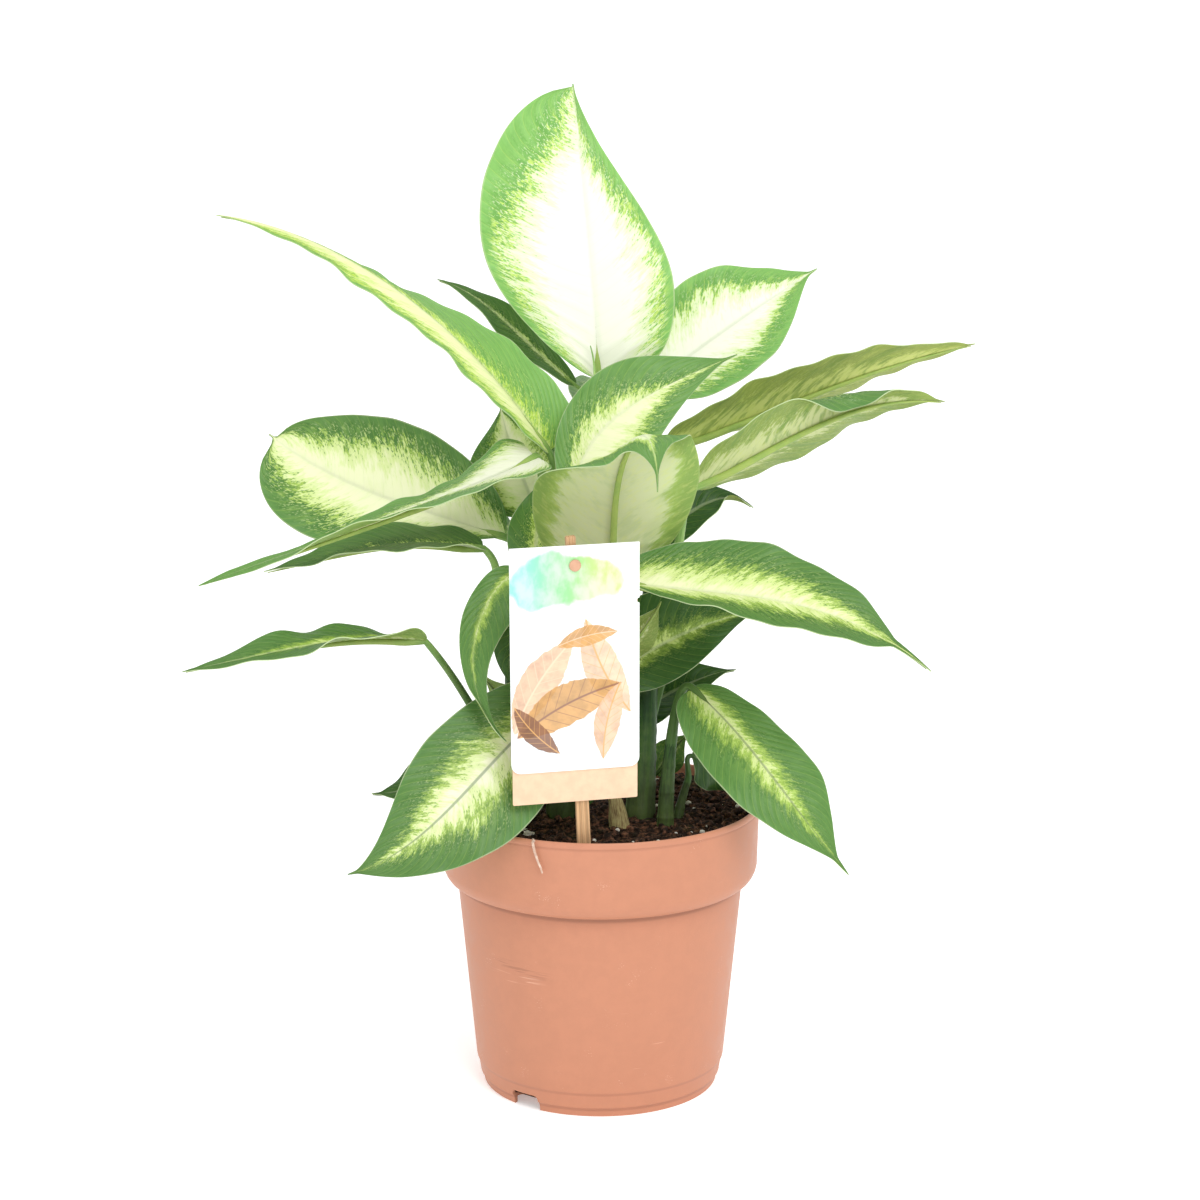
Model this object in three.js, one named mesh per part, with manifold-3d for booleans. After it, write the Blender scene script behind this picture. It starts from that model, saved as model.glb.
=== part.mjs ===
// Potted dieffenbachia: nursery pot, potting mix, shoots, leaves and a label on a wooden stake.
// Millimetres, +Z up. The origin is the centre of the pot's base, on the floor, and the front is -Y.
import * as THREE from "three";
import { mergeVertices } from "three/addons/utils/BufferGeometryUtils.js";
import Module from "manifold-3d";

const wasm = await Module();
wasm.setup();

// ---------- driving dimensions ----------
const POT_TOP_RADIUS = 85;
const POT_HEIGHT = 155;
const POT_WALL = 1.7;
const POT_FLOOR = 2;
const BAND_FOOT_Z = 112; // where the stepped rim band meets the body
const BODY_TOP_RADIUS = 76;
const BODY_FOOT_RADIUS = 66.5;
const STEP_Z = 14; // fine step above the foot
const FOOT_RADIUS = 62.5;
const CHANNEL_HEIGHT = 3.5; // raised ring under the floor, round the flat pad that the pot rests on
const PAD_RADIUS = 40;
const DRAIN_HOLES = 6;
const DRAIN_HOLE_RADIUS = 3.5;
const DRAIN_HOLE_CIRCLE = 51; // radius
const NOTCH_WIDTH = 17;
const NOTCH_HEIGHT = 8.5;
const NOTCH_ANGLES = [-128, 52]; // degrees round the pot
const CUTTER_LENGTH = 20; // of the cutters for drain holes and notches
const POT_FACETS = 36;

const MIX_TOP = 147; // level of the potting mix at the wall
const MIX_CROWN = 2; // how much the mix rises towards the middle
const GAP = 0.3; // running gap between touching pieces

const SHOOT_DEPTH = 28; // how deep the canes stand in the mix
const SHOOT_SIDES = 10;
const RING_SIDES = 10; // of a petiole; a blade has as many: five over the top and five under it
const PETIOLE_RADIUS = 2.1;
const PETIOLE_FOOT_RADIUS = 2.8;
const BLADE_THICKNESS = 0.8;
const MIDRIB_RELIEF = 1; // how far the midrib stands out under the blade

const LABEL_FOOT = [-8, -73, MIX_TOP]; // where the stake enters the mix
const LABEL_YAW = 12; // degrees; the label's left side is nearer the front
const LABEL_LEAN = 4;
const STAKE_ROLL = -3.2;
const CARD_ROLL = -1;
const STAKE_WIDTH = 7;
const STAKE_TIP_WIDTH = 5;
const STAKE_THICKNESS = 3;
const STAKE_DEPTH = 42;
const STAKE_POINT = 12; // length of the pointed foot
const STAKE_HEIGHT = 167;
const FRONT_CARD = { width: 65.5, height: 117, thickness: 0.7, corner: 5 };
const BACKING_CARD = { width: 64, height: 130, thickness: 0.9, corner: 0.8 };
const CARD_TOP = 163; // from the mix to the front card's top edge, along the stake
const BACKING_DROP = 4; // from the front card's top edge to the backing card's
const CARD_SHIFT = -5; // the cards hang a little to the left of the stake
const PIN_RADIUS = 3;
const PIN_HEIGHT = 1.4;
const PIN_DROP = 10; // from the top of the cards to the pin

// Canes: the points that each axis passes through, from the mix up, and the radius at foot and top.
const SHOOTS = {
  tall: { axis: [[-20, -10, MIX_TOP], [-19, -6, 230], [-15, -2, 330]], radius: [8.5, 3.6] },
  left: { axis: [[-36, 0, MIX_TOP], [-44, -6, 200], [-48, -14, 262]], radius: [6, 3] },
  right: { axis: [[21, -14, MIX_TOP], [25, -4, 230], [30, 8, 318]], radius: [8, 3.4] },
  right_front: { axis: [[34, -30, MIX_TOP], [35, -28, 170], [37, -26, 192]], radius: [4.6, 3] },
  small: { axis: [[44, -12, MIX_TOP], [45, -10, 156], [47, -7, 165]], radius: [3.4, 2.4] },
};

// Leaves. midrib: points that it passes through at equal steps from the blade's foot to its tip.
// face: the way that the upper surface looks, spread from foot to tip, as fold and curl are.
// half: widths left and right of the midrib, seen from the upper side with the tip away.
// peak: where along the blade each half is widest. tip: how pointed each half ends.
// fold: how far each half is raised at the midrib, in degrees. curl: how much further it turns.
// wave: height, number and phase of the ripples along the margin.
// at: how far up its shoot the leaf is borne. side: the way that it leaves the shoot, in degrees.
// sweep: how far the end of the petiole runs in line with the blade, as a share of its length.
const LEAVES = {
  top: {
    shoot: "tall", at: 1, midrib: [[-1, 10, 378], [-4, 13, 427], [-9, 26, 475], [-14, 44, 528]],
    face: [[-0.05, -1, 0.3]], half: [55, 42], peak: [0.55, 0.3], tip: [0.8, 0.95],
    fold: [[6, 8]], curl: [[-6, -10]], wave: [1.5, 3, 40],
  },
  upper_right: {
    shoot: "right", at: 1, midrib: [[22, 36, 366], [53, 50, 389], [87, 70, 410], [118, 92, 427]],
    face: [[-0.25, -1, 0.55]], half: [32, 32], peak: [0.46, 0.55], tip: [0.95, 0.9],
    fold: [[5, 5]], wave: [1.2, 2, 0],
  },
  centre: {
    shoot: "tall", at: 0.84, side: -40,
    midrib: [[-14, -30, 319], [-4, -23, 350], [24, -13, 372], [71, 0, 392]],
    face: [[-0.05, -1, 0.25]], half: [31, 30], peak: [0.52, 0.4], fold: [[-3, 20]], wave: [1.5, 2, 0],
  },
  centre_low: {
    shoot: "tall", at: 0.58, side: -130,
    midrib: [[-31, -19, 272], [-33, -23, 293], [-31, -23, 314], [-28, -21, 334]],
    face: [[0, -1, 0.2]], half: [15, 15], peak: [0.5, 0.5], fold: [[5, 5]],
  },
  front_arch: {
    shoot: "tall", at: 0.45, side: -60,
    midrib: [[4, -28, 270], [7, -46, 310], [11, -62, 343], [21, -82, 357], [28, -94, 336]],
    face: [[0, 0.6, 1], [0.2, -1, 0.6]], half: [44, 42], peak: [0.42, 0.44],
    fold: [[18, 30], [5, 15], [-10, 10]], wave: [1.5, 2, 0],
  },
  long_upper_left: {
    shoot: "tall", at: 0.94, side: 185,
    midrib: [[-26, -6, 342], [-70, -14, 399], [-128, -22, 444], [-192, -32, 466]],
    face: [[0.5, -0.2, 0.85]], half: [27, 32], peak: [0.42, 0.22],
    fold: [[-8, 72], [-8, -8], [-14, -30]], wave: [1.5, 4, 0],
  },
  left_broad: {
    shoot: "tall", at: 0.66, side: 170,
    midrib: [[-50, 6, 295], [-90, 12, 307], [-133, 20, 322], [-175, 30, 346]],
    face: [[-0.1, -1, 0.5]], half: [36, 37], peak: [0.62, 0.56], tip: [0.6, 0.75],
    fold: [[5, 5]], wave: [1.2, 2, 0],
  },
  left_front_narrow: {
    shoot: "tall", at: 0.8, side: 180, sweep: 0.12,
    midrib: [[-33, -13, 341], [-65, -34, 330], [-108, -46, 315], [-155, -54, 299], [-202, -62, 283]],
    face: [[0, -0.25, 1], [0, 0.05, 1]], half: [21, 23], peak: [0.35, 0.35], wave: [2.5, 2, 0],
  },
  left_lower: {
    shoot: "left", at: 0.95, side: 180, sweep: 0.15,
    midrib: [[-60, -10, 292], [-98, -18, 297], [-133, -26, 293], [-172, -36, 285]],
    face: [[0, -0.1, 1]], half: [24, 24], fold: [[10, 10]], wave: [1.5, 2, 0],
  },
  left_behind: {
    shoot: "tall", at: 0.55, side: 130,
    midrib: [[-33, 14, 306], [-41, 20, 325], [-48, 27, 343], [-53, 36, 362]],
    face: [[-0.2, -1, 0.4]], half: [28, 26], fold: [[5, 5]],
  },
  left_mid: {
    shoot: "left", at: 0.8, side: -60,
    midrib: [[-43, -42, 284], [-57, -55, 273], [-64, -67, 242], [-47, -73, 205]],
    face: [[-0.2, -1, 0.2]], half: [17, 9], peak: [0.3, 0.35], fold: [[10, 10]],
  },
  left_inner: {
    shoot: "left", at: 0.6, side: -40,
    midrib: [[-31, -34, 266], [-41, -40, 254], [-46, -42, 239], [-41, -44, 221]],
    face: [[-0.2, -1, 0.2]], half: [12, 11],
  },
  left_back: {
    shoot: "left", at: 0.3, side: 60,
    midrib: [[-32, 10, 198], [-45, 14, 202], [-55, 18, 209], [-65, 24, 220]],
    face: [[0.3, 0.9, 0.4]], half: [9, 9],
  },
  left_low: {
    shoot: "left", at: 0.2, side: -165, sweep: 0.2,
    midrib: [[-89, -46, 251], [-126, -54, 254], [-166, -62, 249], [-210, -72, 241]],
    face: [[0, 0.35, 1], [-0.1, -0.75, 1]], half: [17, 16], fold: [[12, 12]], wave: [2, 3, 0],
  },
  lower_left_front: {
    shoot: "left", at: 0.12, side: -70,
    midrib: [[-20, -48, 221], [-55, -71, 193], [-88, -90, 163], [-126, -104, 145]],
    face: [[-0.15, -1, 0.3]], half: [34, 32], fold: [[-12, 8], [2, 6]], wave: [1, 2, 0],
  },
  lower_left_small: {
    shoot: "left", at: 0.05, side: 190,
    midrib: [[-63, -6, 176], [-84, -10, 170], [-102, -14, 164], [-120, -20, 163]],
    face: [[-0.2, -0.6, 1]], half: [11, 11],
  },
  right_mid: {
    shoot: "tall", at: 0.32, side: -98,
    midrib: [[10, -60, 285], [62, -63, 280], [114, -70, 271], [166, -76, 242]],
    face: [[0, -0.7, 1]], half: [32, 28], peak: [0.42, 0.52], tip: [0.85, 0.95],
    fold: [[10, 22]], wave: [1.2, 3, 0],
  },
  right_under: {
    shoot: "tall", at: 0.16, side: -18,
    midrib: [[0, -20, 223], [26, -17, 239], [54, -14, 252], [84, -8, 258]],
    face: [[-0.2, -1, 0.3]], half: [28, 20],
  },
  right_inner: {
    shoot: "tall", at: 0.24, side: -72,
    midrib: [[12, -42, 239], [18, -46, 251], [25, -49, 262], [31, -52, 273]],
    face: [[0, 1, 0.2]], half: [9, 9],
  },
  right_dark: {
    shoot: "tall", at: 0.08, side: 10,
    midrib: [[6, 10, 192], [27, 14, 203], [50, 19, 214], [73, 25, 219]],
    face: [[0, -0.7, 1]], half: [20, 14],
  },
  lower_right_front: {
    shoot: "right_front", at: 1,
    midrib: [[48, -20, 220], [74, -44, 198], [99, -62, 169], [127, -70, 134]],
    face: [[0.1, -1, 0.7]], half: [21, 27], peak: [0.6, 0.45], wave: [1.5, 2, 0],
  },
  right_low_small: {
    shoot: "right", at: 0.02, side: 70,
    midrib: [[30, 14, 164], [36, 16, 172], [42, 18, 180], [50, 22, 186]],
    face: [[0.2, 1, 0.3]], half: [9, 9],
  },
  lower_right_small: {
    shoot: "small", at: 1,
    midrib: [[49, 4, 177], [57, 8, 172], [65, 14, 162], [74, 20, 150]],
    face: [[0.1, -1, 0.6]], half: [12, 14],
  },
  long_right_upper: {
    shoot: "right", at: 0.92, side: 15,
    midrib: [[34, 22, 340], [90, 26, 360], [143, 32, 379], [199, 44, 392]],
    face: [[-0.1, 0.4, 1]], half: [26, 31], fold: [[5, 30], [5, 10]], wave: [1.2, 3, 0],
  },
  long_right_lower: {
    shoot: "right", at: 0.66, side: -25, sweep: 0.14,
    midrib: [[49, -14, 325], [96, -10, 350], [137, -6, 366], [178, -4, 368]],
    face: [[-0.1, 0.8, 1]], half: [34, 28], fold: [[8, 8]], wave: [1.2, 2, 0],
  },
  right_small: {
    shoot: "right", at: 0.5, side: 85,
    midrib: [[22, 40, 284], [41, 44, 296], [62, 50, 307], [83, 58, 301]],
    face: [[0, -0.7, 0.8]], half: [13, 13],
  },
  upper_left_small: {
    shoot: "tall", at: 0.88, side: 90,
    midrib: [[-13, 50, 369], [-40, 54, 393], [-62, 58, 412], [-87, 64, 424]],
    face: [[-0.2, -0.6, 1]], half: [14, 14],
  },
  back_high: {
    shoot: "tall", at: 0.72, side: 60,
    midrib: [[2, 44, 345], [8, 84, 362], [14, 118, 358], [20, 146, 336]],
    face: [[0, -0.5, 1], [0, 0.5, 1]], half: [26, 26],
  },
  back_left: {
    shoot: "tall", at: 0.36, side: 120,
    midrib: [[-50, 40, 292], [-82, 66, 306], [-112, 92, 308], [-140, 116, 298]],
    face: [[0.3, 0.1, 1]], half: [22, 22],
  },
  back_right: {
    shoot: "right", at: 0.45, side: 50,
    midrib: [[42, 32, 240], [72, 54, 254], [104, 78, 252], [136, 100, 236]],
    face: [[0.1, -0.1, 1]], half: [20, 20],
  },
  back_low: {
    shoot: "tall", at: 0.14, side: 80,
    midrib: [[-8, 36, 196], [-4, 66, 210], [2, 96, 206], [6, 124, 186]],
    face: [[0, 0.2, 1]], half: [22, 22],
  },
};

const COLOURS = {
  pot: 0xd98f6c, mix: 0x2b1d15, cane: 0x2f5a2b, dry: 0x8a7a4a, leaf: 0x3f8a3a, young: 0x9ccb5a,
  print: 0xeef3ea, tan: 0xe8c9a4, wood: 0xb98a58, pin: 0xc08464,
};

// ---------- helpers ----------
const radians = THREE.MathUtils.degToRad;
const vector = (p) => new THREE.Vector3(...p);

// The value at t of a smooth curve through values that stand at equal steps from 0 to 1.
function spread(values, t) {
  const last = values.length - 1;
  if (last === 0) return [...values[0]];
  const result = values[0].map(() => 0);
  values.forEach((value, i) => {
    let weight = 1;
    for (let j = 0; j <= last; j++) if (j !== i) weight *= (t * last - j) / (i - j);
    value.forEach((v, k) => (result[k] += weight * v));
  });
  return result;
}

// The direction of such a curve at t.
function direction(values, t) {
  const step = 1e-3;
  return vector(spread(values, t + step)).sub(vector(spread(values, t - step))).normalize();
}

function solidOf(geometry) {
  const bare = geometry.clone();
  bare.deleteAttribute("normal");
  bare.deleteAttribute("uv");
  const merged = mergeVertices(bare, 1e-4);
  const triVerts = new Uint32Array(merged.index.array);
  const vertProperties = merged.attributes.position.array;
  return new wasm.Manifold(new wasm.Mesh({ numProp: 3, vertProperties, triVerts }));
}

function geometryOf(solid) {
  const { vertProperties, triVerts } = solid.getMesh();
  const geometry = new THREE.BufferGeometry();
  geometry.setAttribute("position", new THREE.BufferAttribute(vertProperties, 3));
  geometry.setIndex(new THREE.BufferAttribute(triVerts, 1));
  geometry.computeVertexNormals();
  return geometry;
}

// A closed skin through rings of equal length; the first and last rings are closed flat.
function loft(rings) {
  const size = rings[0].length;
  const points = rings.flat().flatMap((p) => [p.x, p.y, p.z]);
  const faces = [];
  for (let i = 0; i + 1 < rings.length; i++)
    for (let j = 0; j < size; j++) {
      const a = i * size + j;
      const b = i * size + ((j + 1) % size);
      faces.push(a, b, b + size, a, b + size, a + size);
    }
  const end = (rings.length - 1) * size;
  for (let j = 1; j + 1 < size; j++) {
    faces.push(0, j + 1, j);
    faces.push(end, end + j, end + j + 1);
  }
  const geometry = new THREE.BufferGeometry();
  geometry.setAttribute("position", new THREE.Float32BufferAttribute(points, 3));
  geometry.setIndex(faces);
  geometry.computeVertexNormals();
  return geometry;
}

function mesh(name, geometry, color, roughness = 0.6) {
  const part = new THREE.Mesh(
    geometry,
    new THREE.MeshStandardMaterial({ color, roughness, metalness: 0, side: THREE.DoubleSide }),
  );
  part.name = name;
  return part;
}

function lathe(profile) {
  const points = profile.map(([r, z]) => new THREE.Vector2(r, z));
  return new THREE.LatheGeometry(points, POT_FACETS).rotateX(Math.PI / 2);
}

// A ring of points round a centre; the first lies half a step past the left side.
function circle(centre, right, up, radius, sides) {
  return Array.from({ length: sides }, (_, k) => {
    const angle = Math.PI - ((k + 0.5) * 2 * Math.PI) / sides;
    return centre
      .clone()
      .addScaledVector(right, radius * Math.cos(angle))
      .addScaledVector(up, radius * Math.sin(angle));
  });
}

// ---------- pot ----------
const bodyRadius = (z) =>
  BODY_FOOT_RADIUS + ((BODY_TOP_RADIUS - BODY_FOOT_RADIUS) * (z - STEP_Z)) / (BAND_FOOT_Z - STEP_Z);

function potProfile() {
  const lip = POT_TOP_RADIUS;
  const floor = CHANNEL_HEIGHT + POT_FLOOR;
  const outside = [
    [0, 0], [PAD_RADIUS, 0], [PAD_RADIUS + 2, CHANNEL_HEIGHT], [FOOT_RADIUS - 2, CHANNEL_HEIGHT],
    [FOOT_RADIUS - 2, 0], [FOOT_RADIUS, 0], [FOOT_RADIUS + 0.5, 4], [BODY_FOOT_RADIUS - 2, 5.5],
    [BODY_FOOT_RADIUS - 0.9, STEP_Z - 1.5], [BODY_FOOT_RADIUS, STEP_Z], [BODY_TOP_RADIUS, BAND_FOOT_Z],
    [lip - 5.2, BAND_FOOT_Z + 1.4], [lip - 2.6, BAND_FOOT_Z + 4.4], [lip - 1.2, BAND_FOOT_Z + 9],
    [lip, POT_HEIGHT - 2.5], [lip - 0.3, POT_HEIGHT - 0.5], [lip - 1, POT_HEIGHT],
  ];
  const inside = [
    [lip - 1.8, POT_HEIGHT - 0.5], [lip - 2.1, POT_HEIGHT - 2.5], [lip - 2.9, BAND_FOOT_Z + 9.8],
    [lip - 4.3, BAND_FOOT_Z + 6], [lip - 6.6, BAND_FOOT_Z + 3.2],
    [BODY_TOP_RADIUS - POT_WALL, BAND_FOOT_Z + 1.4], [BODY_FOOT_RADIUS - POT_WALL, STEP_Z],
    [FOOT_RADIUS - 0.6, floor], [PAD_RADIUS + 3.2, floor], [PAD_RADIUS + 1.2, POT_FLOOR], [0, POT_FLOOR],
  ];
  return [...outside, ...inside];
}

function pot() {
  let body = solidOf(lathe(potProfile()));
  for (let i = 0; i < DRAIN_HOLES; i++) {
    const angle = ((i + 0.5) * 2 * Math.PI) / DRAIN_HOLES;
    const hole = new THREE.CylinderGeometry(DRAIN_HOLE_RADIUS, DRAIN_HOLE_RADIUS, CUTTER_LENGTH, 10)
      .rotateX(Math.PI / 2)
      .translate(DRAIN_HOLE_CIRCLE * Math.cos(angle), DRAIN_HOLE_CIRCLE * Math.sin(angle), 0);
    body = body.subtract(solidOf(hole));
  }
  for (const degrees of NOTCH_ANGLES) {
    const notch = new THREE.BoxGeometry(CUTTER_LENGTH, NOTCH_WIDTH, 2 * NOTCH_HEIGHT)
      .translate(BODY_FOOT_RADIUS, 0, 0)
      .rotateZ(radians(degrees));
    body = body.subtract(solidOf(notch));
  }
  return mesh("pot", geometryOf(body), COLOURS.pot, 0.45);
}

// ---------- shoots ----------
// The frame at a fraction of the way up a shoot: its axis point, its direction and its radius.
function alongShoot({ axis, radius }, at) {
  return {
    point: vector(spread(axis, at)),
    up: direction(axis, at),
    radius: radius[0] + (radius[1] - radius[0]) * at,
  };
}

// A cane with its buried foot; extra widens it into the cutter for its hole in the mix.
function cane(shoot, extra = 0) {
  const sideways = new THREE.Vector3(0, 1, 0);
  const foot = alongShoot(shoot, 0);
  const below = foot.point.clone().setZ(MIX_TOP - SHOOT_DEPTH - extra);
  const steps = extra > 0 ? [0, 0.05, 0.3] : [0, 0.2, 0.4, 0.6, 0.8, 1];
  const rings = [circle(below, new THREE.Vector3(1, 0, 0), sideways, foot.radius + extra, SHOOT_SIDES)];
  for (const at of steps) {
    const { point, up, radius } = alongShoot(shoot, at);
    const right = new THREE.Vector3().crossVectors(sideways, up).normalize();
    const back = new THREE.Vector3().crossVectors(up, right);
    rings.push(circle(point, right, back, radius + extra, SHOOT_SIDES));
  }
  return loft(rings.map((ring) => ring.reverse()));
}

const shoots = () =>
  Object.entries(SHOOTS).map(([name, shoot]) => mesh(`shoot_${name}`, cane(shoot), COLOURS.cane));

// The dry sheath at the foot of the right shoot, and the rolled tip of the next leaf.
const STUB = { axis: [[10, -27, MIX_TOP], [9, -27.5, 157], [7, -28, 168]], radius: [3.4, 1.2] };
const SPEAR = { axis: [[-8.6, -3, 345], [-3, 2, 374], [-5, 4, 396]], radius: [1.7, 0.4] };

function spear() {
  const sides = 8;
  const rings = [0, 0.5, 1].map((at) => {
    const { point, radius } = alongShoot(SPEAR, at);
    return circle(point, new THREE.Vector3(1, 0, 0), new THREE.Vector3(0, 1, 0), radius, sides);
  });
  return loft(rings.map((ring) => ring.reverse()));
}

// ---------- leaves ----------
// Half the width of a blade at t, as a share of its widest: it rises to peak and falls to a point.
function outline(t, peak, pointed) {
  const s = t ** (Math.log(0.5) / Math.log(peak));
  return Math.sin(Math.PI * s) ** (s < 0.5 ? 0.62 : pointed);
}

// The frame of a blade at t: a point on the midrib, and the ways along, up and to the right of it.
function bladeFrame(leaf, t) {
  const along = direction(leaf.midrib, t);
  const up = vector(spread(leaf.face.map((f) => vector(f).normalize().toArray()), t));
  up.addScaledVector(along, -up.dot(along)).normalize();
  return { point: vector(spread(leaf.midrib, t)), up, right: new THREE.Vector3().crossVectors(along, up) };
}

// A cross-section of the blade at t: five points over the top, then five back under it.
function bladeRing(leaf, t) {
  const { point, up, right } = bladeFrame(leaf, t);
  const fold = spread(leaf.fold ?? [[8, 8]], t);
  const curl = spread(leaf.curl ?? [[0, 0]], t);
  const [height, count, phase] = leaf.wave ?? [2, 2, 0];
  const top = [];
  const under = [];
  for (const u of [-1, -0.5, 0, 0.5, 1]) {
    const side = u < 0 ? 0 : 1;
    const sign = u < 0 ? -1 : 1;
    const reach = Math.abs(u);
    const peak = (leaf.peak ?? [0.42, 0.42])[side];
    const width = leaf.half[side] * outline(t, peak, (leaf.tip ?? [1.1, 1.1])[side]);
    const start = radians(fold[side]);
    const turn = radians(curl[side]) || 1e-4;
    const across = (width * (Math.sin(start + turn * reach) - Math.sin(start))) / turn;
    const ripple = height * reach ** 2 * Math.min(1, width / 10);
    const lift = (width * (Math.cos(start) - Math.cos(start + turn * reach))) / turn +
      ripple * Math.sin(2 * Math.PI * count * t + radians(phase) + 1.7 * side);
    const middle = point.clone().addScaledVector(right, sign * across).addScaledVector(up, lift);
    const slope = start + turn * reach;
    const normal = up.clone().multiplyScalar(Math.cos(slope));
    normal.addScaledVector(right, -sign * Math.sin(slope));
    const relief = u === 0 ? MIDRIB_RELIEF * (1 - t) : 0;
    top.push(middle.clone().addScaledVector(normal, BLADE_THICKNESS / 2));
    under.unshift(middle.clone().addScaledVector(normal, -BLADE_THICKNESS / 2 - relief));
  }
  return [...top, ...under];
}

// The petiole's rings, from its shoot to the foot of the blade, turned so that they meet the blade.
function petioleRings(leaf) {
  const { point, up, radius } = alongShoot(SHOOTS[leaf.shoot], leaf.at);
  const blade = bladeFrame(leaf, 0);
  const away = leaf.side === undefined
    ? Math.atan2(blade.point.y - point.y, blade.point.x - point.x)
    : radians(leaf.side);
  const outward = new THREE.Vector3(Math.cos(away), Math.sin(away), 0);
  const onTop = leaf.at === 1;
  const slender = Math.min(1, leaf.half[0] / 20);
  const start = point.clone().addScaledVector(onTop ? up : outward,
    onTop ? 2 * GAP : radius + PETIOLE_FOOT_RADIUS * slender + GAP);
  const length = start.distanceTo(blade.point);
  const along = direction(leaf.midrib, 0);
  const path = new THREE.CubicBezierCurve3(
    start,
    start.clone().addScaledVector(up, 0.4 * length).addScaledVector(outward, onTop ? 0 : 0.12 * length),
    blade.point.clone().addScaledVector(along, -(leaf.sweep ?? 0.35) * length),
    blade.point,
  );
  const rings = [];
  let top = blade.up;
  for (const s of [1, 0.67, 0.33, 0]) {
    const way = path.getTangent(s);
    top = top.clone().addScaledVector(way, -top.dot(way)).normalize();
    const right = new THREE.Vector3().crossVectors(way, top);
    const radiusHere = PETIOLE_FOOT_RADIUS + (PETIOLE_RADIUS - PETIOLE_FOOT_RADIUS) * s;
    rings.unshift(circle(path.getPoint(s), right, top, radiusHere * slender, RING_SIDES));
  }
  return rings;
}

function leafMesh([name, leaf]) {
  const rows = [0.05, 0.15, 0.3, 0.47, 0.64, 0.8, 0.92, 0.995];
  const rings = [...petioleRings(leaf), ...rows.map((t) => bladeRing(leaf, t))];
  return mesh(`leaf_${name}`, loft(rings), COLOURS.leaf);
}

// ---------- label ----------
function labelFrame(roll) {
  const frame = new THREE.Group();
  frame.position.set(...LABEL_FOOT);
  frame.rotation.set(radians(LABEL_LEAN), radians(roll), radians(LABEL_YAW), "ZXY");
  return frame;
}

// The stake's outline, with a pointed foot; extra widens it into the cutter for its hole.
function stake(extra = 0) {
  const foot = STAKE_WIDTH / 2 + extra;
  const head = STAKE_TIP_WIDTH / 2;
  const shape = new THREE.Shape()
    .moveTo(foot, 0)
    .lineTo(head, STAKE_HEIGHT)
    .lineTo(-head, STAKE_HEIGHT)
    .lineTo(-foot, 0)
    .lineTo(-foot, -STAKE_DEPTH + STAKE_POINT)
    .lineTo(-1 - extra, -STAKE_DEPTH - extra)
    .lineTo(1 + extra, -STAKE_DEPTH - extra)
    .lineTo(foot, -STAKE_DEPTH + STAKE_POINT);
  const depth = STAKE_THICKNESS + 2 * extra;
  return new THREE.ExtrudeGeometry(shape, { depth, bevelEnabled: false })
    .rotateX(Math.PI / 2)
    .translate(0, depth / 2, 0);
}

// A card with rounded corners, standing in front of the stake; its top edge is at CARD_TOP.
function card({ width, height, thickness, corner }, backAt, topAt) {
  const shape = new THREE.Shape();
  const half = width / 2;
  shape.moveTo(-half, topAt).lineTo(-half, topAt - height + corner);
  shape.absarc(-half + corner, topAt - height + corner, corner, Math.PI, 1.5 * Math.PI, false);
  shape.absarc(half - corner, topAt - height + corner, corner, 1.5 * Math.PI, 2 * Math.PI, false);
  shape.lineTo(half, topAt);
  return new THREE.ExtrudeGeometry(shape, { depth: thickness, bevelEnabled: false, curveSegments: 5 })
    .rotateX(Math.PI / 2)
    .translate(CARD_SHIFT, backAt, 0);
}

function label() {
  const backingAt = -STAKE_THICKNESS / 2 - 2 * GAP;
  const frontAt = backingAt - BACKING_CARD.thickness - GAP;
  const pinAt = frontAt - FRONT_CARD.thickness - GAP;
  const stakeFrame = labelFrame(STAKE_ROLL);
  stakeFrame.add(mesh("label_stake", stake(), COLOURS.wood, 0.8));
  const cardFrame = labelFrame(CARD_ROLL);
  const pin = new THREE.CylinderGeometry(PIN_RADIUS, PIN_RADIUS, PIN_HEIGHT, 16)
    .translate(-STAKE_TIP_WIDTH, pinAt - PIN_HEIGHT / 2, CARD_TOP - PIN_DROP);
  cardFrame.add(
    mesh("label_backing_card", card(BACKING_CARD, backingAt, CARD_TOP - BACKING_DROP), COLOURS.tan, 0.8),
    mesh("label_front_card", card(FRONT_CARD, frontAt, CARD_TOP), COLOURS.print, 0.35),
    mesh("label_pin", pin, COLOURS.pin, 0.6),
  );
  return [stakeFrame, cardFrame];
}

// ---------- potting mix ----------
function pottingMix() {
  const inner = (z) => bodyRadius(z) - POT_WALL - GAP;
  const lip = POT_TOP_RADIUS - 2.9 - GAP;
  const floor = CHANNEL_HEIGHT + POT_FLOOR + GAP;
  let body = solidOf(lathe([
    [0, floor], [FOOT_RADIUS - 1.6, floor], [inner(STEP_Z), STEP_Z], [inner(BAND_FOOT_Z), BAND_FOOT_Z + 1.8],
    [lip - 4.2, BAND_FOOT_Z + 3.8], [lip - 1.8, BAND_FOOT_Z + 6.6], [lip - 0.2, BAND_FOOT_Z + 10.2],
    [lip + 0.5, MIX_TOP - 1], [lip - 2, MIX_TOP], [POT_TOP_RADIUS / 2, MIX_TOP + 0.8 * MIX_CROWN],
    [0, MIX_TOP + MIX_CROWN],
  ]));
  for (const shoot of [...Object.values(SHOOTS), STUB]) body = body.subtract(solidOf(cane(shoot, GAP)));
  const hole = labelFrame(STAKE_ROLL);
  hole.updateMatrix();
  body = body.subtract(solidOf(stake(GAP).applyMatrix4(hole.matrix)));
  return mesh("potting_mix", geometryOf(body), COLOURS.mix, 0.95);
}

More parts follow.
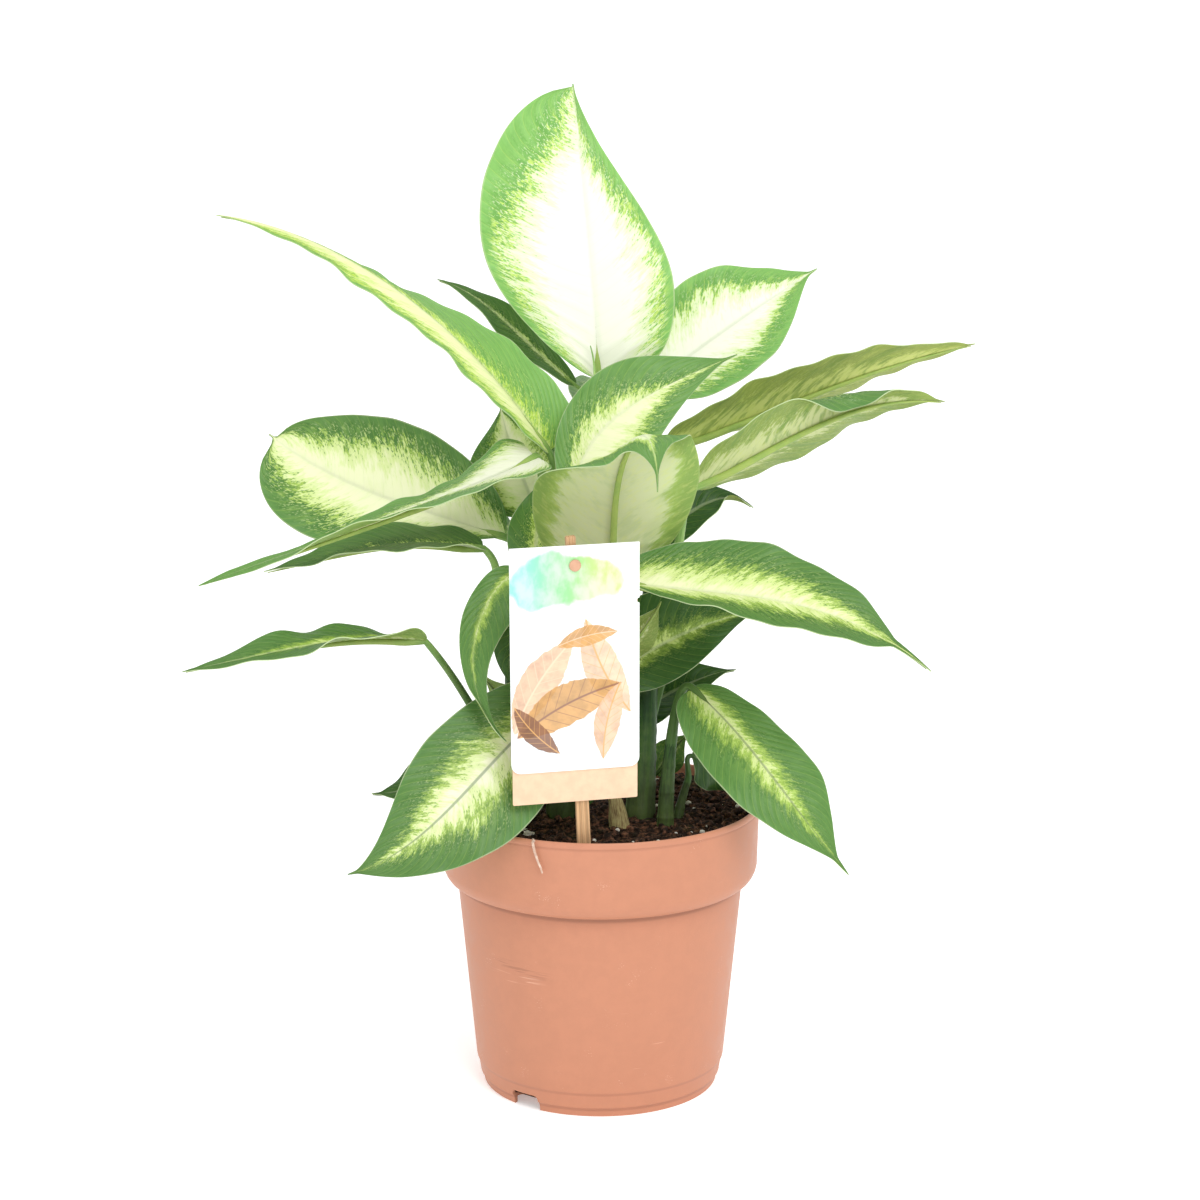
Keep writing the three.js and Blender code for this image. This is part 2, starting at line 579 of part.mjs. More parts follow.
// ---------- the whole plant ----------
const plant = new THREE.Group();
plant.add(
  pot(),
  pottingMix(),
  ...shoots(),
  mesh("dry_sheath_stub", cane(STUB), COLOURS.dry),
  ...Object.entries(LEAVES).map(leafMesh),
  mesh("new_leaf_spear", spear(), COLOURS.young),
  ...label(),
);

export default plant;
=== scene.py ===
"""Potted dieffenbachia: nursery pot, potting mix, shoots, leaves and a label on a wooden stake.

Lengths in the tables are millimetres and angles are degrees, in the frame of the CAD parts:
+Z up, the origin at the middle of the pot's base, and the front at -Y.
"""

import math

import bpy
import numpy as np
from mathutils import Matrix, Vector, noise


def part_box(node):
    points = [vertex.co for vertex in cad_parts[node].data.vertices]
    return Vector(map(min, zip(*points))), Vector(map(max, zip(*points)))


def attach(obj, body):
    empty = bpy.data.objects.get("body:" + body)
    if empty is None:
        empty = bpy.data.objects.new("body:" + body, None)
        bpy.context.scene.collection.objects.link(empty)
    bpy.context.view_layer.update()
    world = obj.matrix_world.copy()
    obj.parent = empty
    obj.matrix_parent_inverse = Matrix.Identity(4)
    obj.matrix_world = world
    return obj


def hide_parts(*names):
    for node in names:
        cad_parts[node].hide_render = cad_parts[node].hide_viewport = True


bl_info = {
    "name": "Potted Dieffenbachia",
    "version": (1, 0, 0),
    "blender": (4, 5, 0),
    "location": "View3D > Sidebar > Dieffenbachia",
    "description": "Builds a potted dieffenbachia with its label around the packed CAD parts",
    "category": "Add Mesh",
}

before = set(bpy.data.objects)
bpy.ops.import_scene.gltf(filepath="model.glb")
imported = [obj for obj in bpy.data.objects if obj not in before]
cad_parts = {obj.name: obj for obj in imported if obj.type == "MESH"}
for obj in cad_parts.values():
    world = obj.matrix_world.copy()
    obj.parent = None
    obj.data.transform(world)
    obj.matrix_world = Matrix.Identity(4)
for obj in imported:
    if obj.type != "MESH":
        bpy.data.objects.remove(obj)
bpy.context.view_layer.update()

MM = 0.001
TAU = 2 * math.pi
POT_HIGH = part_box("pot")[1]
RIM_RADIUS = round(POT_HIGH.x / MM, 3)
POT_HEIGHT = round(POT_HIGH.z / MM, 3)
MIX_TOP = 147.0  # where the potting mix meets the pot

# ---------- tables that the pieces are built from ----------

# Pot: radius and height of each ring, from the flat pad out and up, then down inside to its floor.
POT_PROFILE = (
    (40, 0), (41, 1.8), (42, 3.5), (60.5, 3.5), (60.5, 0.4), (60.9, 0), (62.2, 0), (62.6, 0.4),
    (62.9, 3.4), (63.4, 4.6), (64.5, 5.5), (65.5, 12), (65.8, 13.1), (66.4, 13.8), (66.6, 15),
    (75.8, 110.2), (75.6, 111.5), (75.9, 112.3), (77.4, 112.8), (79.6, 113.4), (81.2, 114.7),
    (82.4, 116.4), (83.3, 118.6), (83.8, 121), (84.6, 151), (84.55, 151.5), (84.85, 151.9),
    (RIM_RADIUS, 152.6), (RIM_RADIUS, 153.8), (84.8, 154.5), (84.4, 154.9), (83.9, POT_HEIGHT),
    (83.4, 154.8), (83.05, 154), (82.95, 152.5), (82.1, 121.8), (81.6, 119.6), (80.7, 118),
    (79.7, 116.4), (78.4, 115.2), (76.5, 114.1), (74.3, 113.4), (64.8, 14), (63.5, 8), (61.9, 5.5),
    (43.2, 5.5), (41.2, 2),
)
DRAIN_HOLES = 6
DRAIN_RADIUS = 3.5
DRAIN_CIRCLE = 51
NOTCH_ANGLES = (-128, 52)
NOTCH_WIDTH = 17
NOTCH_HEIGHT = 8.5
NOTCH_CIRCLE = 66.5
NOTCH_ROUND = 2.2
CUTTER_DEPTH = 20
# Painted shade: dark lines round the pot in the grooves at its steps, where shade falls: how
# strong each one is, and the heights where it starts to show, shows in full, starts to fade and
# ends.
POT_SHADE_LINES = (
    (0.75, 109.3, 111.2, 112.4, 113.3), (0.3, 150.0, 151.2, 151.6, 152.2),
    (0.3, 11.8, 12.8, 13.6, 14.2), (0.4, 2.6, 3.4, 4.2, 5.0),
)

# Potting mix: radius and height of each ring from its foot to its edge.
MIX_PROFILE = (
    (60.9, 5.8), (64.5, 14), (74, 113.8), (77.6, 115.8), (80, 118.6), (81.6, 122.2), (82.3, 145.4),
    (82, 146.4), (81.2, 146.9),
)
MIX_CROWN = 149  # height of the mix at its middle
MIX_SPREAD = 82  # radius over which it falls from there to its edge
MIX_MOUND = (54, 46, 20, 5.5)  # where the mix is heaped: its place, its spread and its height
HEADSPACE = ((-27, 7), (38, 74))  # where the mix is kept level, for water
HEADSPACE_LUMP = 0.5  # the largest lump that lies there
MIX_EDGE = (81.4, 79)  # radii between which the top goes from its level edge to its own height
MIX_RINGS = (80.3, 0.8, 52)  # first and last radius and number of the rings of its top
CRUMB_RADIUS, FIBRE_RADIUS = 80, 79  # how far out crumbs and fibres lie
# What lies on the mix: the smallest and largest size, and the height over the size.
CRUMBS, GRAINS, FIBRES = (0.5, 3.0, 0.75), (0.6, 2.0, 0.9), (0.5, 1.0, 1.0)
# Perlite that lies in front: its place and its size.
PERLITE = (
    (-38.7, -38, 2.0), (-37.4, -48, 2.3), (-35, -47, 1.3), (47, -42, 1.2), (53, -42, 1.4),
    (39.6, -40, 1.0), (30, -55, 1.1), (17, -60, 0.9), (56, -30, 0.9), (38, 12, 1.0), (50, 0, 0.9),
)
# A thin root that hangs over the front of the rim.
ROOT = (
    (-30, -68, 147.6), (-31.5, -73, 149.8), (-33, -77.4, 154), (-33.9, -79.2, 155.7),
    (-34, -80.2, 154.4), (-33.2, -80.4, 150), (-31.6, -80.5, 145), (-29.9, -80.9, 141),
    (-29.2, -81.6, 138.6),
)
ROOT_RADIUS = 0.7

# Canes, the rolled tip of the next leaf and the dry sheath: the points that each axis passes
# through, and the radius at foot and top.
SHOOTS = {
    "tall": dict(axis=[(-20, -10, 147), (-19, -6, 230), (-15, -2, 330)], radius=(8.5, 3.6)),
    "left": dict(axis=[(-36, 0, 147), (-44, -6, 200), (-48, -14, 262)], radius=(6, 3)),
    "right": dict(axis=[(21, -14, 147), (25, -4, 230), (30, 8, 318)], radius=(8, 3.4)),
    "right_front": dict(axis=[(34, -30, 147), (35, -28, 170), (37, -26, 192)], radius=(4.6, 3)),
    "small": dict(axis=[(41, -14, 147), (43, -11, 156), (46, -7, 165)], radius=(2.9, 1.9)),
}
SPEAR = dict(axis=[(-8.6, -3, 345), (-3, 2, 374), (-5, 4, 396)], radius=(1.5, 0.3))
STUB = dict(axis=[(10.5, -32, 147), (9.5, -32.5, 157), (7, -33, 168)], radius=(6.0, 3.0))
STUB_THICKNESS = 0.45
CANE_SUNK = (28, 6)  # how far the rings below a cane's foot lie in the mix
SCAR_STEP = 13.5  # height from one leaf scar to the next
SCAR_RISE = 0.07  # how far a scar stands out, as a share of the radius

# Leaf stalks.
STALK = (2.8, 2.1)  # half the width where a stalk leaves its cane and where its blade starts
STALK_GAP = 0.3  # between a stalk and its cane
SLENDER_HALF = 20  # a blade whose half is narrower has a thinner stalk, in proportion
SHEATH_LENGTH, SHEATH_LEAST = 30, 8
MIDRIB_RADIUS, MIDRIB_LEAST = 2.0, 0.22
# Blades.
GRID_ROW, GRID_COLUMN = 1.9, 2.1  # about how long and how wide the faces of a blade are
AWN_TAPER = 0.13  # half the width of the fine end over its length
EDGE_LEAST = 0.2  # the least half width, so that the ends stay open
VEIN_SLANT = 0.2  # how far the side veins run towards the tip by the margin, as a share
CHANNEL_DEPTH, CHANNEL_WIDTH = 0.7, 1.6  # over the midrib
SWELL_HEIGHT, SWELL_STEP = 0.28, 5.5  # between the side veins
FRILL_HEIGHT, FRILL_STEPS = 0.65, (23, 37)  # the two small ripples of the margin

# Leaves. at: how far up its shoot the leaf is borne. side: the way that it leaves the shoot.
# sweep: how far the end of the stalk runs in line with the blade, as a share of its length;
# or stem: where its last control point lies, from the blade's foot.
# midrib: points that it passes through at equal steps from the blade's foot to its tip.
# face: the way that the upper surface looks, spread from foot to tip, as fold and curl are.
# half: widths left and right of the midrib, seen from the upper side with the tip away.
# peak: where along the blade each half is widest. tip: how pointed each half ends.
# base: how full the blade's foot is, fuller as it is smaller. awn: the length of the fine end.
# fold: how far each half is raised at the midrib. curl: how much further it turns.
# flap: more curl in one place, as its side, its place along the blade, its spread and its angle.
# wave: height, number and phase of the ripples along the margin.
# reach: how far the cream goes from the midrib at foot, middle and tip, as a share of the half.
# feather: how ragged its edge is. fleck: how much is freckled. soft: how softly it turns green.
# tone: 0 is the darkest green and 1 the lightest, partly the leaf's own green and partly painted
# light and shade: lighter on the top leaves that light shines through, darker on the inner leaves
# in
# shade. gold: 0 is a white centre and 1 a yellow one.
# lean: how much more cream the right half has. rib: how strong the midrib's line is, and
# rib_dark: whether it is darker than the blade. back: how golden the underside is.
USUAL_LEAF = dict(
    sweep=0.35, peak=(0.42, 0.42), tip=(1.1, 1.1), base=0.62, awn=4, fold=[(8, 8)], curl=[(0, 0)],
    flap=(), wave=(2, 2, 0), soft=0.11, lean=0, rib=0.4, rib_dark=False, back=0.45)
LEAVES = {
    "top": dict(
        shoot="tall", at=1,
        midrib=[(-1, 10, 378), (-4, 13, 427), (-9, 26, 475), (-14, 44, 528)],
        face=[(-0.05, -1, 0.3)], half=(55, 42), peak=(0.55, 0.3), tip=(0.42, 1.25), awn=2,
        fold=[(6, 8)], curl=[(-6, -10)], wave=(1.5, 3, 40),
        reach=(0.8, 0.8, 0.1), feather=0.34, fleck=1.3, tone_and_shade=1.05, gold=0.0, rib=0.05),
    "upper_right": dict(
        shoot="right", at=1,
        midrib=[(22, 36, 366), (53, 50, 389), (87, 70, 410), (118, 92, 427)],
        face=[(-0.25, -1, 0.55)], half=(36, 31), peak=(0.5, 0.46), tip=(1.1, 1.35), awn=5,
        fold=[(5, 5)], wave=(1.2, 2, 0),
        reach=(0.66, 0.62, 0.15), feather=0.32, fleck=0.5, tone_and_shade=0.95, gold=0.0, rib=0.25),
    "centre": dict(
        shoot="tall", at=0.84, side=-40,
        midrib=[(-14, -30, 319), (-4, -23, 350), (24, -13, 372), (71, 0, 392)],
        face=[(-0.05, -1, 0.25)], half=(24, 30), peak=(0.58, 0.4),
        fold=[(-3, 20)], wave=(1.5, 2, 0),
        reach=(0.3, 0.5, -0.1), feather=0.38, fleck=0.8, tone_and_shade=0.55, gold=0.55, lean=0.15,
        rib=0.15),
    "centre_low": dict(
        shoot="tall", at=0.58, side=-130,
        midrib=[(-31, -19, 272), (-33, -23, 293), (-31, -23, 314), (-28, -21, 334)],
        face=[(0, -1, 0.2)], half=(15, 15), peak=(0.5, 0.5), fold=[(5, 5)],
        reach=(0.2, 0.2, 0.1), feather=0.35, fleck=0.9, tone_and_shade=0.35, gold=0.9),
    "front_arch": dict(
        shoot="tall", at=0.45, side=-60,
        midrib=[(4, -28, 270), (7, -46, 310), (11, -62, 346), (21, -82, 363), (28, -94, 336)],
        face=[(0, 0.6, 1), (0.2, -1, 0.6)], half=(40, 42), peak=(0.48, 0.4),
        fold=[(18, 10), (-8, -10), (-38, -18)], wave=(1.2, 2, 0),
        reach=(0.8, 0.7, -0.1), feather=0.25, fleck=0.35, tone_and_shade=0.5, gold=0.15, soft=0.25,
        back=0.4),
    "long_upper_left": dict(
        shoot="tall", at=0.94, side=185,
        midrib=[(-26, -6, 342), (-70, -14, 399), (-128, -22, 444), (-192, -32, 466)],
        face=[(0.5, -0.2, 0.85)], half=(23, 27), peak=(0.42, 0.24),
        fold=[(-8, 72), (-8, -8), (-14, -30)], wave=(0.7, 3, 0),
        reach=(0.45, 0.36, 0.3), feather=0.5, fleck=1.2, tone_and_shade=0.9, gold=0.8, soft=0.2, lean=-0.35,
        back=0.7),
    "left_broad": dict(
        shoot="tall", at=0.66, side=170,
        midrib=[(-50, 6, 295), (-90, 12, 307), (-133, 20, 322), (-175, 30, 346)],
        face=[(-0.1, -1, 0.5)], half=(36, 41), peak=(0.74, 0.54), tip=(0.4, 0.5), base=0.45,
        fold=[(5, 5)], wave=(1.2, 2, 0),
        reach=(0.5, 0.6, 0.42), feather=0.34, fleck=1.0, tone_and_shade=0.45, gold=0.5, rib=0.12),
    "left_front_narrow": dict(
        shoot="tall", at=0.8, side=180, sweep=0.12,
        midrib=[(-33, -13, 341), (-65, -34, 330), (-108, -46, 315), (-155, -54, 299),
                (-202, -62, 283)],
        face=[(0, -0.8, 1), (0, 0.1, 1), (0, -1.1, 1)], half=(20, 19), peak=(0.22, 0.2),
        tip=(0.8, 0.9), awn=16, wave=(2.5, 2, 0),
        reach=(0.85, 0.25, -0.5), feather=0.34, fleck=1.0, tone_and_shade=0.66, gold=0.15),
    "left_lower": dict(
        shoot="left", at=0.95, side=180, sweep=0.15, stem=(13, 0, -12),
        midrib=[(-60, -10, 292), (-98, -18, 297), (-133, -26, 293), (-172, -36, 285)],
        face=[(0, -0.1, 1)], half=(24, 24), base=0.4, fold=[(10, 10)], wave=(1.5, 2, 0),
        reach=(0.05, -0.1, -0.3), feather=0.35, fleck=0.4, tone_and_shade=0.27, gold=0.8, rib=0.1),
    "left_behind": dict(
        shoot="tall", at=0.55, side=130,
        midrib=[(-33, 14, 306), (-41, 20, 325), (-48, 27, 343), (-53, 36, 362)],
        face=[(-0.2, -1, 0.4)], half=(28, 26), fold=[(5, 5)],
        reach=(0.6, 0.6, 0.4), feather=0.25, fleck=0.6, tone_and_shade=0.4, gold=0.5),
    "left_mid": dict(
        shoot="left", at=0.8, side=-60,
        midrib=[(-43, -42, 284), (-57, -55, 273), (-64, -67, 242), (-47, -73, 205)],
        face=[(-0.2, -1, 0.2)], half=(17, 9), peak=(0.3, 0.35),
        fold=[(10, 10)], flap=((1, 0.86, 0.1, 150),),
        reach=(0.12, 0.0, -0.3), feather=0.35, fleck=0.4, tone_and_shade=0.4, gold=0.6, soft=0.3, rib=0.15),
    "left_inner": dict(
        shoot="left", at=0.6, side=-40,
        midrib=[(-31, -34, 266), (-41, -40, 254), (-46, -42, 239), (-41, -44, 221)],
        face=[(-0.2, -1, 0.2)], half=(12, 11),
        reach=(0.05, -0.05, -0.1), feather=0.3, fleck=0.3, tone_and_shade=0.15, gold=0.8),
    "left_back": dict(
        shoot="left", at=0.3, side=60,
        midrib=[(-32, 10, 198), (-45, 14, 202), (-55, 18, 209), (-65, 24, 220)],
        face=[(0.3, 0.9, 0.4)], half=(9, 9),
        reach=(0.3, 0.3, 0.1), feather=0.3, fleck=0.4, tone_and_shade=0.3, gold=0.7),
    "left_low": dict(
        shoot="left", at=0.2, side=-165, sweep=0.2, stem=(12, 9, -17),
        midrib=[(-89, -46, 251), (-126, -54, 254), (-166, -62, 249), (-210, -72, 241)],
        face=[(0, 0.35, 1), (-0.1, -0.75, 1)], half=(17, 16), base=0.4,
        fold=[(12, 12)], wave=(2, 3, 0),
        reach=(0.2, 0.08, -0.2), feather=0.3, fleck=0.3, tone_and_shade=0.36, gold=0.8, soft=0.25, back=0.3),
    "lower_left_front": dict(
        shoot="left", at=0.12, side=-70,
        midrib=[(-20, -48, 221), (-55, -71, 193), (-88, -90, 163), (-126, -104, 145)],
        face=[(-0.15, -1, 0.3)], half=(34, 32), base=0.5, fold=[(-12, 8), (2, 6)], wave=(1, 2, 0),
        reach=(0.1, 0.36, -0.08), feather=0.46, fleck=0.6, tone_and_shade=0.33, gold=0.4, soft=0.26,
        rib=0.6, rib_dark=True),
    "lower_left_small": dict(
        shoot="left", at=0.05, side=190,
        midrib=[(-63, -6, 176), (-84, -10, 170), (-102, -14, 164), (-120, -20, 163)],
        face=[(-0.2, -0.6, 1)], half=(17, 15),
        reach=(-0.3, -0.4, -0.4), feather=0.3, fleck=0.4, tone_and_shade=0.12, gold=0.7),
    "right_mid": dict(
        shoot="tall", at=0.32, side=-98,
        midrib=[(10, -60, 285), (62, -63, 280), (114, -70, 271), (166, -76, 242)],
        face=[(0, -0.7, 1)], half=(32, 28), peak=(0.42, 0.64), tip=(0.75, 0.7), awn=20,
        fold=[(10, 22)], wave=(1.2, 3, 0),
        reach=(0.46, 0.38, 0.12), feather=0.36, fleck=0.7, tone_and_shade=0.36, gold=0.65, soft=0.2,
        rib=0.2),
    "right_under": dict(
        shoot="tall", at=0.16, side=-18,
        midrib=[(0, -20, 223), (26, -17, 239), (54, -14, 252), (84, -8, 258)],
        face=[(-0.2, -1, 0.3)], half=(28, 20),
        reach=(0.14, 0.07, 0.02), feather=0.34, fleck=0.4, tone_and_shade=0.1, gold=0.8, soft=0.3),
    "right_inner": dict(
        shoot="tall", at=0.24, side=-72,
        midrib=[(12, -42, 239), (18, -46, 251), (25, -49, 262), (31, -52, 273)],
        face=[(0, 1, 0.2)], half=(9, 9),
        reach=(0.2, 0.2, 0.1), feather=0.3, fleck=0.3, tone_and_shade=0.25, gold=0.8),
    # Its darkest green is painted shade: it lies under the leaves above.
    "right_dark": dict(
        shoot="tall", at=0.08, side=10,
        midrib=[(6, 10, 192), (27, 14, 203), (50, 19, 214), (73, 25, 219)],
        face=[(0, -0.7, 1)], half=(20, 14),
        reach=(-0.1, -0.2, -0.3), feather=0.25, fleck=0.3, tone_and_shade=0.02, gold=0.8),
    "lower_right_front": dict(
        shoot="right_front", at=1,
        midrib=[(48, -20, 220), (74, -44, 198), (99, -62, 169), (127, -70, 134)],
        face=[(0.1, -1, 0.7)], half=(21, 27), peak=(0.6, 0.45), base=0.36, awn=8,
        wave=(1.5, 2, 0),
        reach=(0.26, 0.12, -0.12), feather=0.42, fleck=0.5, tone_and_shade=0.42, gold=0.6, soft=0.3,
        rib=0.55, rib_dark=True),
    "right_low_small": dict(
        shoot="right", at=0.02, side=70,
        midrib=[(30, 14, 164), (36, 16, 172), (42, 18, 180), (50, 22, 186)],
        face=[(0.2, 1, 0.3)], half=(9, 9),
        reach=(0.2, 0.2, 0.1), feather=0.3, fleck=0.3, tone_and_shade=0.4, gold=0.7, back=0.1),
    "lower_right_small": dict(
        shoot="small", at=1,
        midrib=[(49, 4, 177), (57, 8, 172), (65, 14, 162), (74, 20, 150)],
        face=[(0.1, -1, 0.6)], half=(12, 14),
        reach=(-0.2, -0.3, -0.3), feather=0.3, fleck=0.3, tone_and_shade=0.1, gold=0.7),
    "long_right_upper": dict(
        shoot="right", at=0.92, side=15,
        midrib=[(34, 22, 340), (90, 26, 360), (143, 32, 379), (199, 44, 392)],
        face=[(-0.1, 0.4, 1), (-0.1, 0.75, 1)], half=(22, 24), peak=(0.42, 0.4), tip=(0.8, 0.8),
        fold=[(5, 30), (5, 10)], wave=(0.8, 3, 0),
        reach=(0.5, 0.45, 0.2), feather=0.5, fleck=1.2, tone_and_shade=0.3, gold=0.8, back=0.8),
    "long_right_lower": dict(
        shoot="right", at=0.66, side=-25, sweep=0.14,
        midrib=[(49, -14, 325), (96, -10, 350), (137, -6, 366), (178, -4, 368)],
        face=[(-0.1, 0.8, 1)], half=(30, 30),
        fold=[(8, 8)], flap=((1, 0.6, 0.15, -230), (1, 0.95, 0.06, 50)), wave=(1.2, 2, 0),
        reach=(0.6, 0.4, 0.1), feather=0.4, fleck=1.2, tone_and_shade=0.4, gold=0.3, back=0.55),
    "right_small": dict(
        shoot="right", at=0.5, side=85,
        midrib=[(22, 40, 284), (41, 44, 296), (62, 50, 307), (83, 58, 301)],
        face=[(0, -0.7, 0.8)], half=(13, 13), flap=((1, 0.8, 0.12, 150),),
        reach=(-0.1, -0.2, -0.3), feather=0.25, fleck=0.2, tone_and_shade=0.04, gold=0.8),
    "upper_left_small": dict(
        shoot="tall", at=0.88, side=90,
        midrib=[(-13, 50, 369), (-40, 54, 393), (-62, 58, 412), (-87, 64, 424)],
        face=[(-0.2, -0.6, 1)], half=(10, 9),
        reach=(0.15, 0.05, -0.1), feather=0.3, fleck=0.5, tone_and_shade=0.3, gold=0.5),
    "back_high": dict(
        shoot="tall", at=0.72, side=60,
        midrib=[(2, 44, 345), (8, 84, 362), (14, 118, 358), (20, 146, 336)],
        face=[(0, -0.5, 1), (0, 0.5, 1)], half=(26, 26),
        reach=(0.5, 0.5, 0.3), feather=0.3, fleck=0.6, tone_and_shade=0.5, gold=0.4),
    "back_left": dict(
        shoot="tall", at=0.36, side=120,
        midrib=[(-50, 40, 292), (-82, 66, 306), (-112, 92, 308), (-140, 116, 298)],
        face=[(0.3, 0.1, 1)], half=(22, 22),
        reach=(0.45, 0.4, 0.2), feather=0.35, fleck=0.5, tone_and_shade=0.35, gold=0.6),
    "back_right": dict(
        shoot="right", at=0.45, side=50,
        midrib=[(42, 32, 240), (72, 54, 254), (104, 78, 252), (136, 100, 236)],
        face=[(0.1, -0.1, 1)], half=(20, 20),
        reach=(0.4, 0.35, 0.15), feather=0.35, fleck=0.5, tone_and_shade=0.3, gold=0.6),
    "back_low": dict(
        shoot="tall", at=0.14, side=80,
        midrib=[(-8, 36, 196), (-4, 66, 210), (2, 96, 206), (6, 124, 186)],
        face=[(0, 0.2, 1)], half=(22, 22),
        reach=(0.35, 0.3, 0.15), feather=0.35, fleck=0.5, tone_and_shade=0.3, gold=0.7),
}

# Label, in its own plane: x to the right, y out of the back and z up from the mix. Its foot, its
# yaw and lean, and how far the stake and the cards turn in its plane.
LABEL_FOOT = (-8, -73, MIX_TOP)
LABEL_YAW, LABEL_LEAN = 12, 4
STAKE_ROLL, CARD_ROLL = -3.2, -1.0
CARD_X = -5  # the middle of the cards and the pin
BACKING_CARD = dict(width=64, height=130, top=159, front=-3.0, thickness=0.9, corner=0.8)
FRONT_CARD = dict(width=65.5, height=117, top=163, front=-4.0, thickness=0.7, corner=5)
# The nick in the front card's right edge.
NICK_RADIUS, NICK_PLACE = 1.3, (CARD_X + FRONT_CARD["width"] / 2, -3.6, 133)
CARD_CUTTER = 10
CARD_ROUND, PIN_ROUND = 0.14, 0.45  # of their edges
PIN_RADIUS, PIN_THICKNESS, PIN_PLACE = 3, 1.4, (CARD_X, -5, 153)
FACING_FRONT = (math.pi / 2, 0, 0)  # the turn that makes +Z face the front
# Stake: heights of its rings, and its half width along them.
STAKE_RINGS = (-42, -41.5, -30, -15, 0, 40, 80, 120, 150, 166.4, 167.0)
STAKE_WIDTHS = ((-42, -30, 0, 167), (1.0, 3.5, 3.5, 2.5))
STAKE_HALF_DEPTH = 1.5
# Printed card, in shares of its height: place, length, width and turn of each printed leaf, and
# the settings that colour it and its veins.
PRINTED_LEAVES = (
    (0.12, 0.40, 0.25, 0.085, 1.0, "peach", "tan"), (0.40, 0.45, 0.24, 0.080, 2.0, "tan", "gold"),
    (0.24, 0.30, 0.26, 0.095, 0.45, "gold", "bark"),
    (0.42, 0.22, 0.18, 0.060, 1.35, "peach", "gold"),
    (0.10, 0.18, 0.15, 0.050, 2.3, "bark", "gold"), (0.33, 0.60, 0.14, 0.045, 0.2, "gold", "peach"),
)
CARD_SHAPE = 0.56  # width of the printed card over its height

# Colours that no setting holds: the midrib, the underside of a blade, and the marks on the pot.
RIB_PALE, RIB_DARK = (0.56, 0.64, 0.40), (0.15, 0.24, 0.10)
UNDER_CREAM, UNDER_GOLD = (0.76, 0.78, 0.52), (0.66, 0.70, 0.18)
UNDER_FLECK, UNDER_RIB = (0.70, 0.74, 0.24), (0.3, 0.38, 0.09)
POT_SCRATCH, POT_SPECK = (0.86, 0.52, 0.38), (0.85, 0.62, 0.50)
WHITE = (1, 1, 1, 1)

# Stage, in metres: the camera at the photo's angle, and the two soft lights.
CAMERA_PLACE, CAMERA_TILT = (0, -1.504, 0.585), 12.1
CAMERA_LENS, CAMERA_SENSOR = 88, 36  # in millimetres
FLOOR_SIZE = 400
LIGHT_TARGET = (0, 0, 0.25)
KEY_SIZE, KEY_PLACE = 1.2, (0.6, -1.5, 1.85)
FILL_SIZE, FILL_PLACE = 1.6, (-1.6, -0.9, 1.2)


# ---------- settings ----------

def length(name, description, default):
    """A length in millimetres that a user can change."""
    return bpy.props.FloatProperty(name=name, description=description, default=default, min=0.0)


def share(name, description, default):
    """A fraction from 0 to 1 that a user can change."""
    return bpy.props.FloatProperty(
        name=name, description=description, default=default, min=0.0, max=1.0, subtype="FACTOR")


def colour(name, description, default):
    """A colour that a user can change."""
    return bpy.props.FloatVectorProperty(
        name=name, description=description, default=default, size=3, min=0.0, max=1.0,
        subtype="COLOR")


def number(name, description, default):
    """A count that a user can change."""
    return bpy.props.IntProperty(name=name, description=description, default=default, min=0)


def power(name, description, default):
    """A light's power that a user can change."""
    return bpy.props.FloatProperty(
        name=name, description=description, default=default, min=0.0, unit="POWER")


class PotSettings(bpy.types.PropertyGroup):
    """Colours of the nursery pot."""

    body: colour("Body colour", "Colour of the moulded plastic", (0.51, 0.222, 0.133))
    # Its colour also paints the shade in the grooves at the pot's steps.
    scuff_and_shade: colour("Scuff colour", "Colour of the dark rub marks", (0.30, 0.13, 0.08))


class MixSettings(bpy.types.PropertyGroup):
    """What lies on the potting mix, and its colours."""

    crumbs: number("Crumbs", "How many loose crumbs lie on the mix", 1500)
    grains: number("Perlite grains", "How many white grains lie on the mix", 46)
    fibres: number("Fibres", "How many fibres lie on the mix", 230)
    peat: colour("Peat colour", "Colour of the moist peat", (0.016, 0.009, 0.006))
    fibre: colour("Fibre colour", "Colour of the fibres", (0.30, 0.15, 0.08))


class LeafSettings(bpy.types.PropertyGroup):
    """Sizes and colours that all the leaves share."""

    thickness: length("Blade thickness", "Thickness of a blade, in millimetres", 0.45)
    vein_step: length("Vein step", "Distance between side veins, in millimetres", 5.5)
    white: colour("White", "Centre of the palest leaves", (0.95, 0.95, 0.86))
    cream: colour("Cream", "Centre of the yellower leaves", (0.90, 0.94, 0.48))
    lime: colour("Lime", "Flecks between the centre and the margin", (0.55, 0.76, 0.09))
    light: colour("Light green", "Margin of the lightest leaves", (0.28, 0.58, 0.16))
    dark: colour("Dark green", "Margin of the darkest leaves", (0.024, 0.096, 0.019))
    under: colour("Underside", "What the undersides are tinted with", (0.60, 0.66, 0.16))
    petiole: colour("Petiole", "Colour of the leaf stalks", (0.17, 0.31, 0.075))
    glow: share("Glow", "How much light passes through a blade", 0.3)


class LabelSettings(bpy.types.PropertyGroup):
    """Colours of the label, its cards and its stake."""

    aqua: colour("Aqua", "Left end of the wash at the top", (0.25, 0.62, 0.56))
    green: colour("Green", "Middle of the wash", (0.26, 0.62, 0.27))
    lime: colour("Lime", "Right end of the wash", (0.50, 0.74, 0.18))
    gold: colour("Gold", "Warm shapes under the wash", (0.62, 0.33, 0.10))
    peach: colour("Peach", "Lighter warm shapes", (0.80, 0.50, 0.32))
    bark: colour("Bark", "Darkest warm shapes", (0.24, 0.10, 0.045))
    tan: colour("Tan", "Backing card", (0.78, 0.55, 0.37))
    wood: colour("Wood", "Stake", (0.56, 0.34, 0.17))


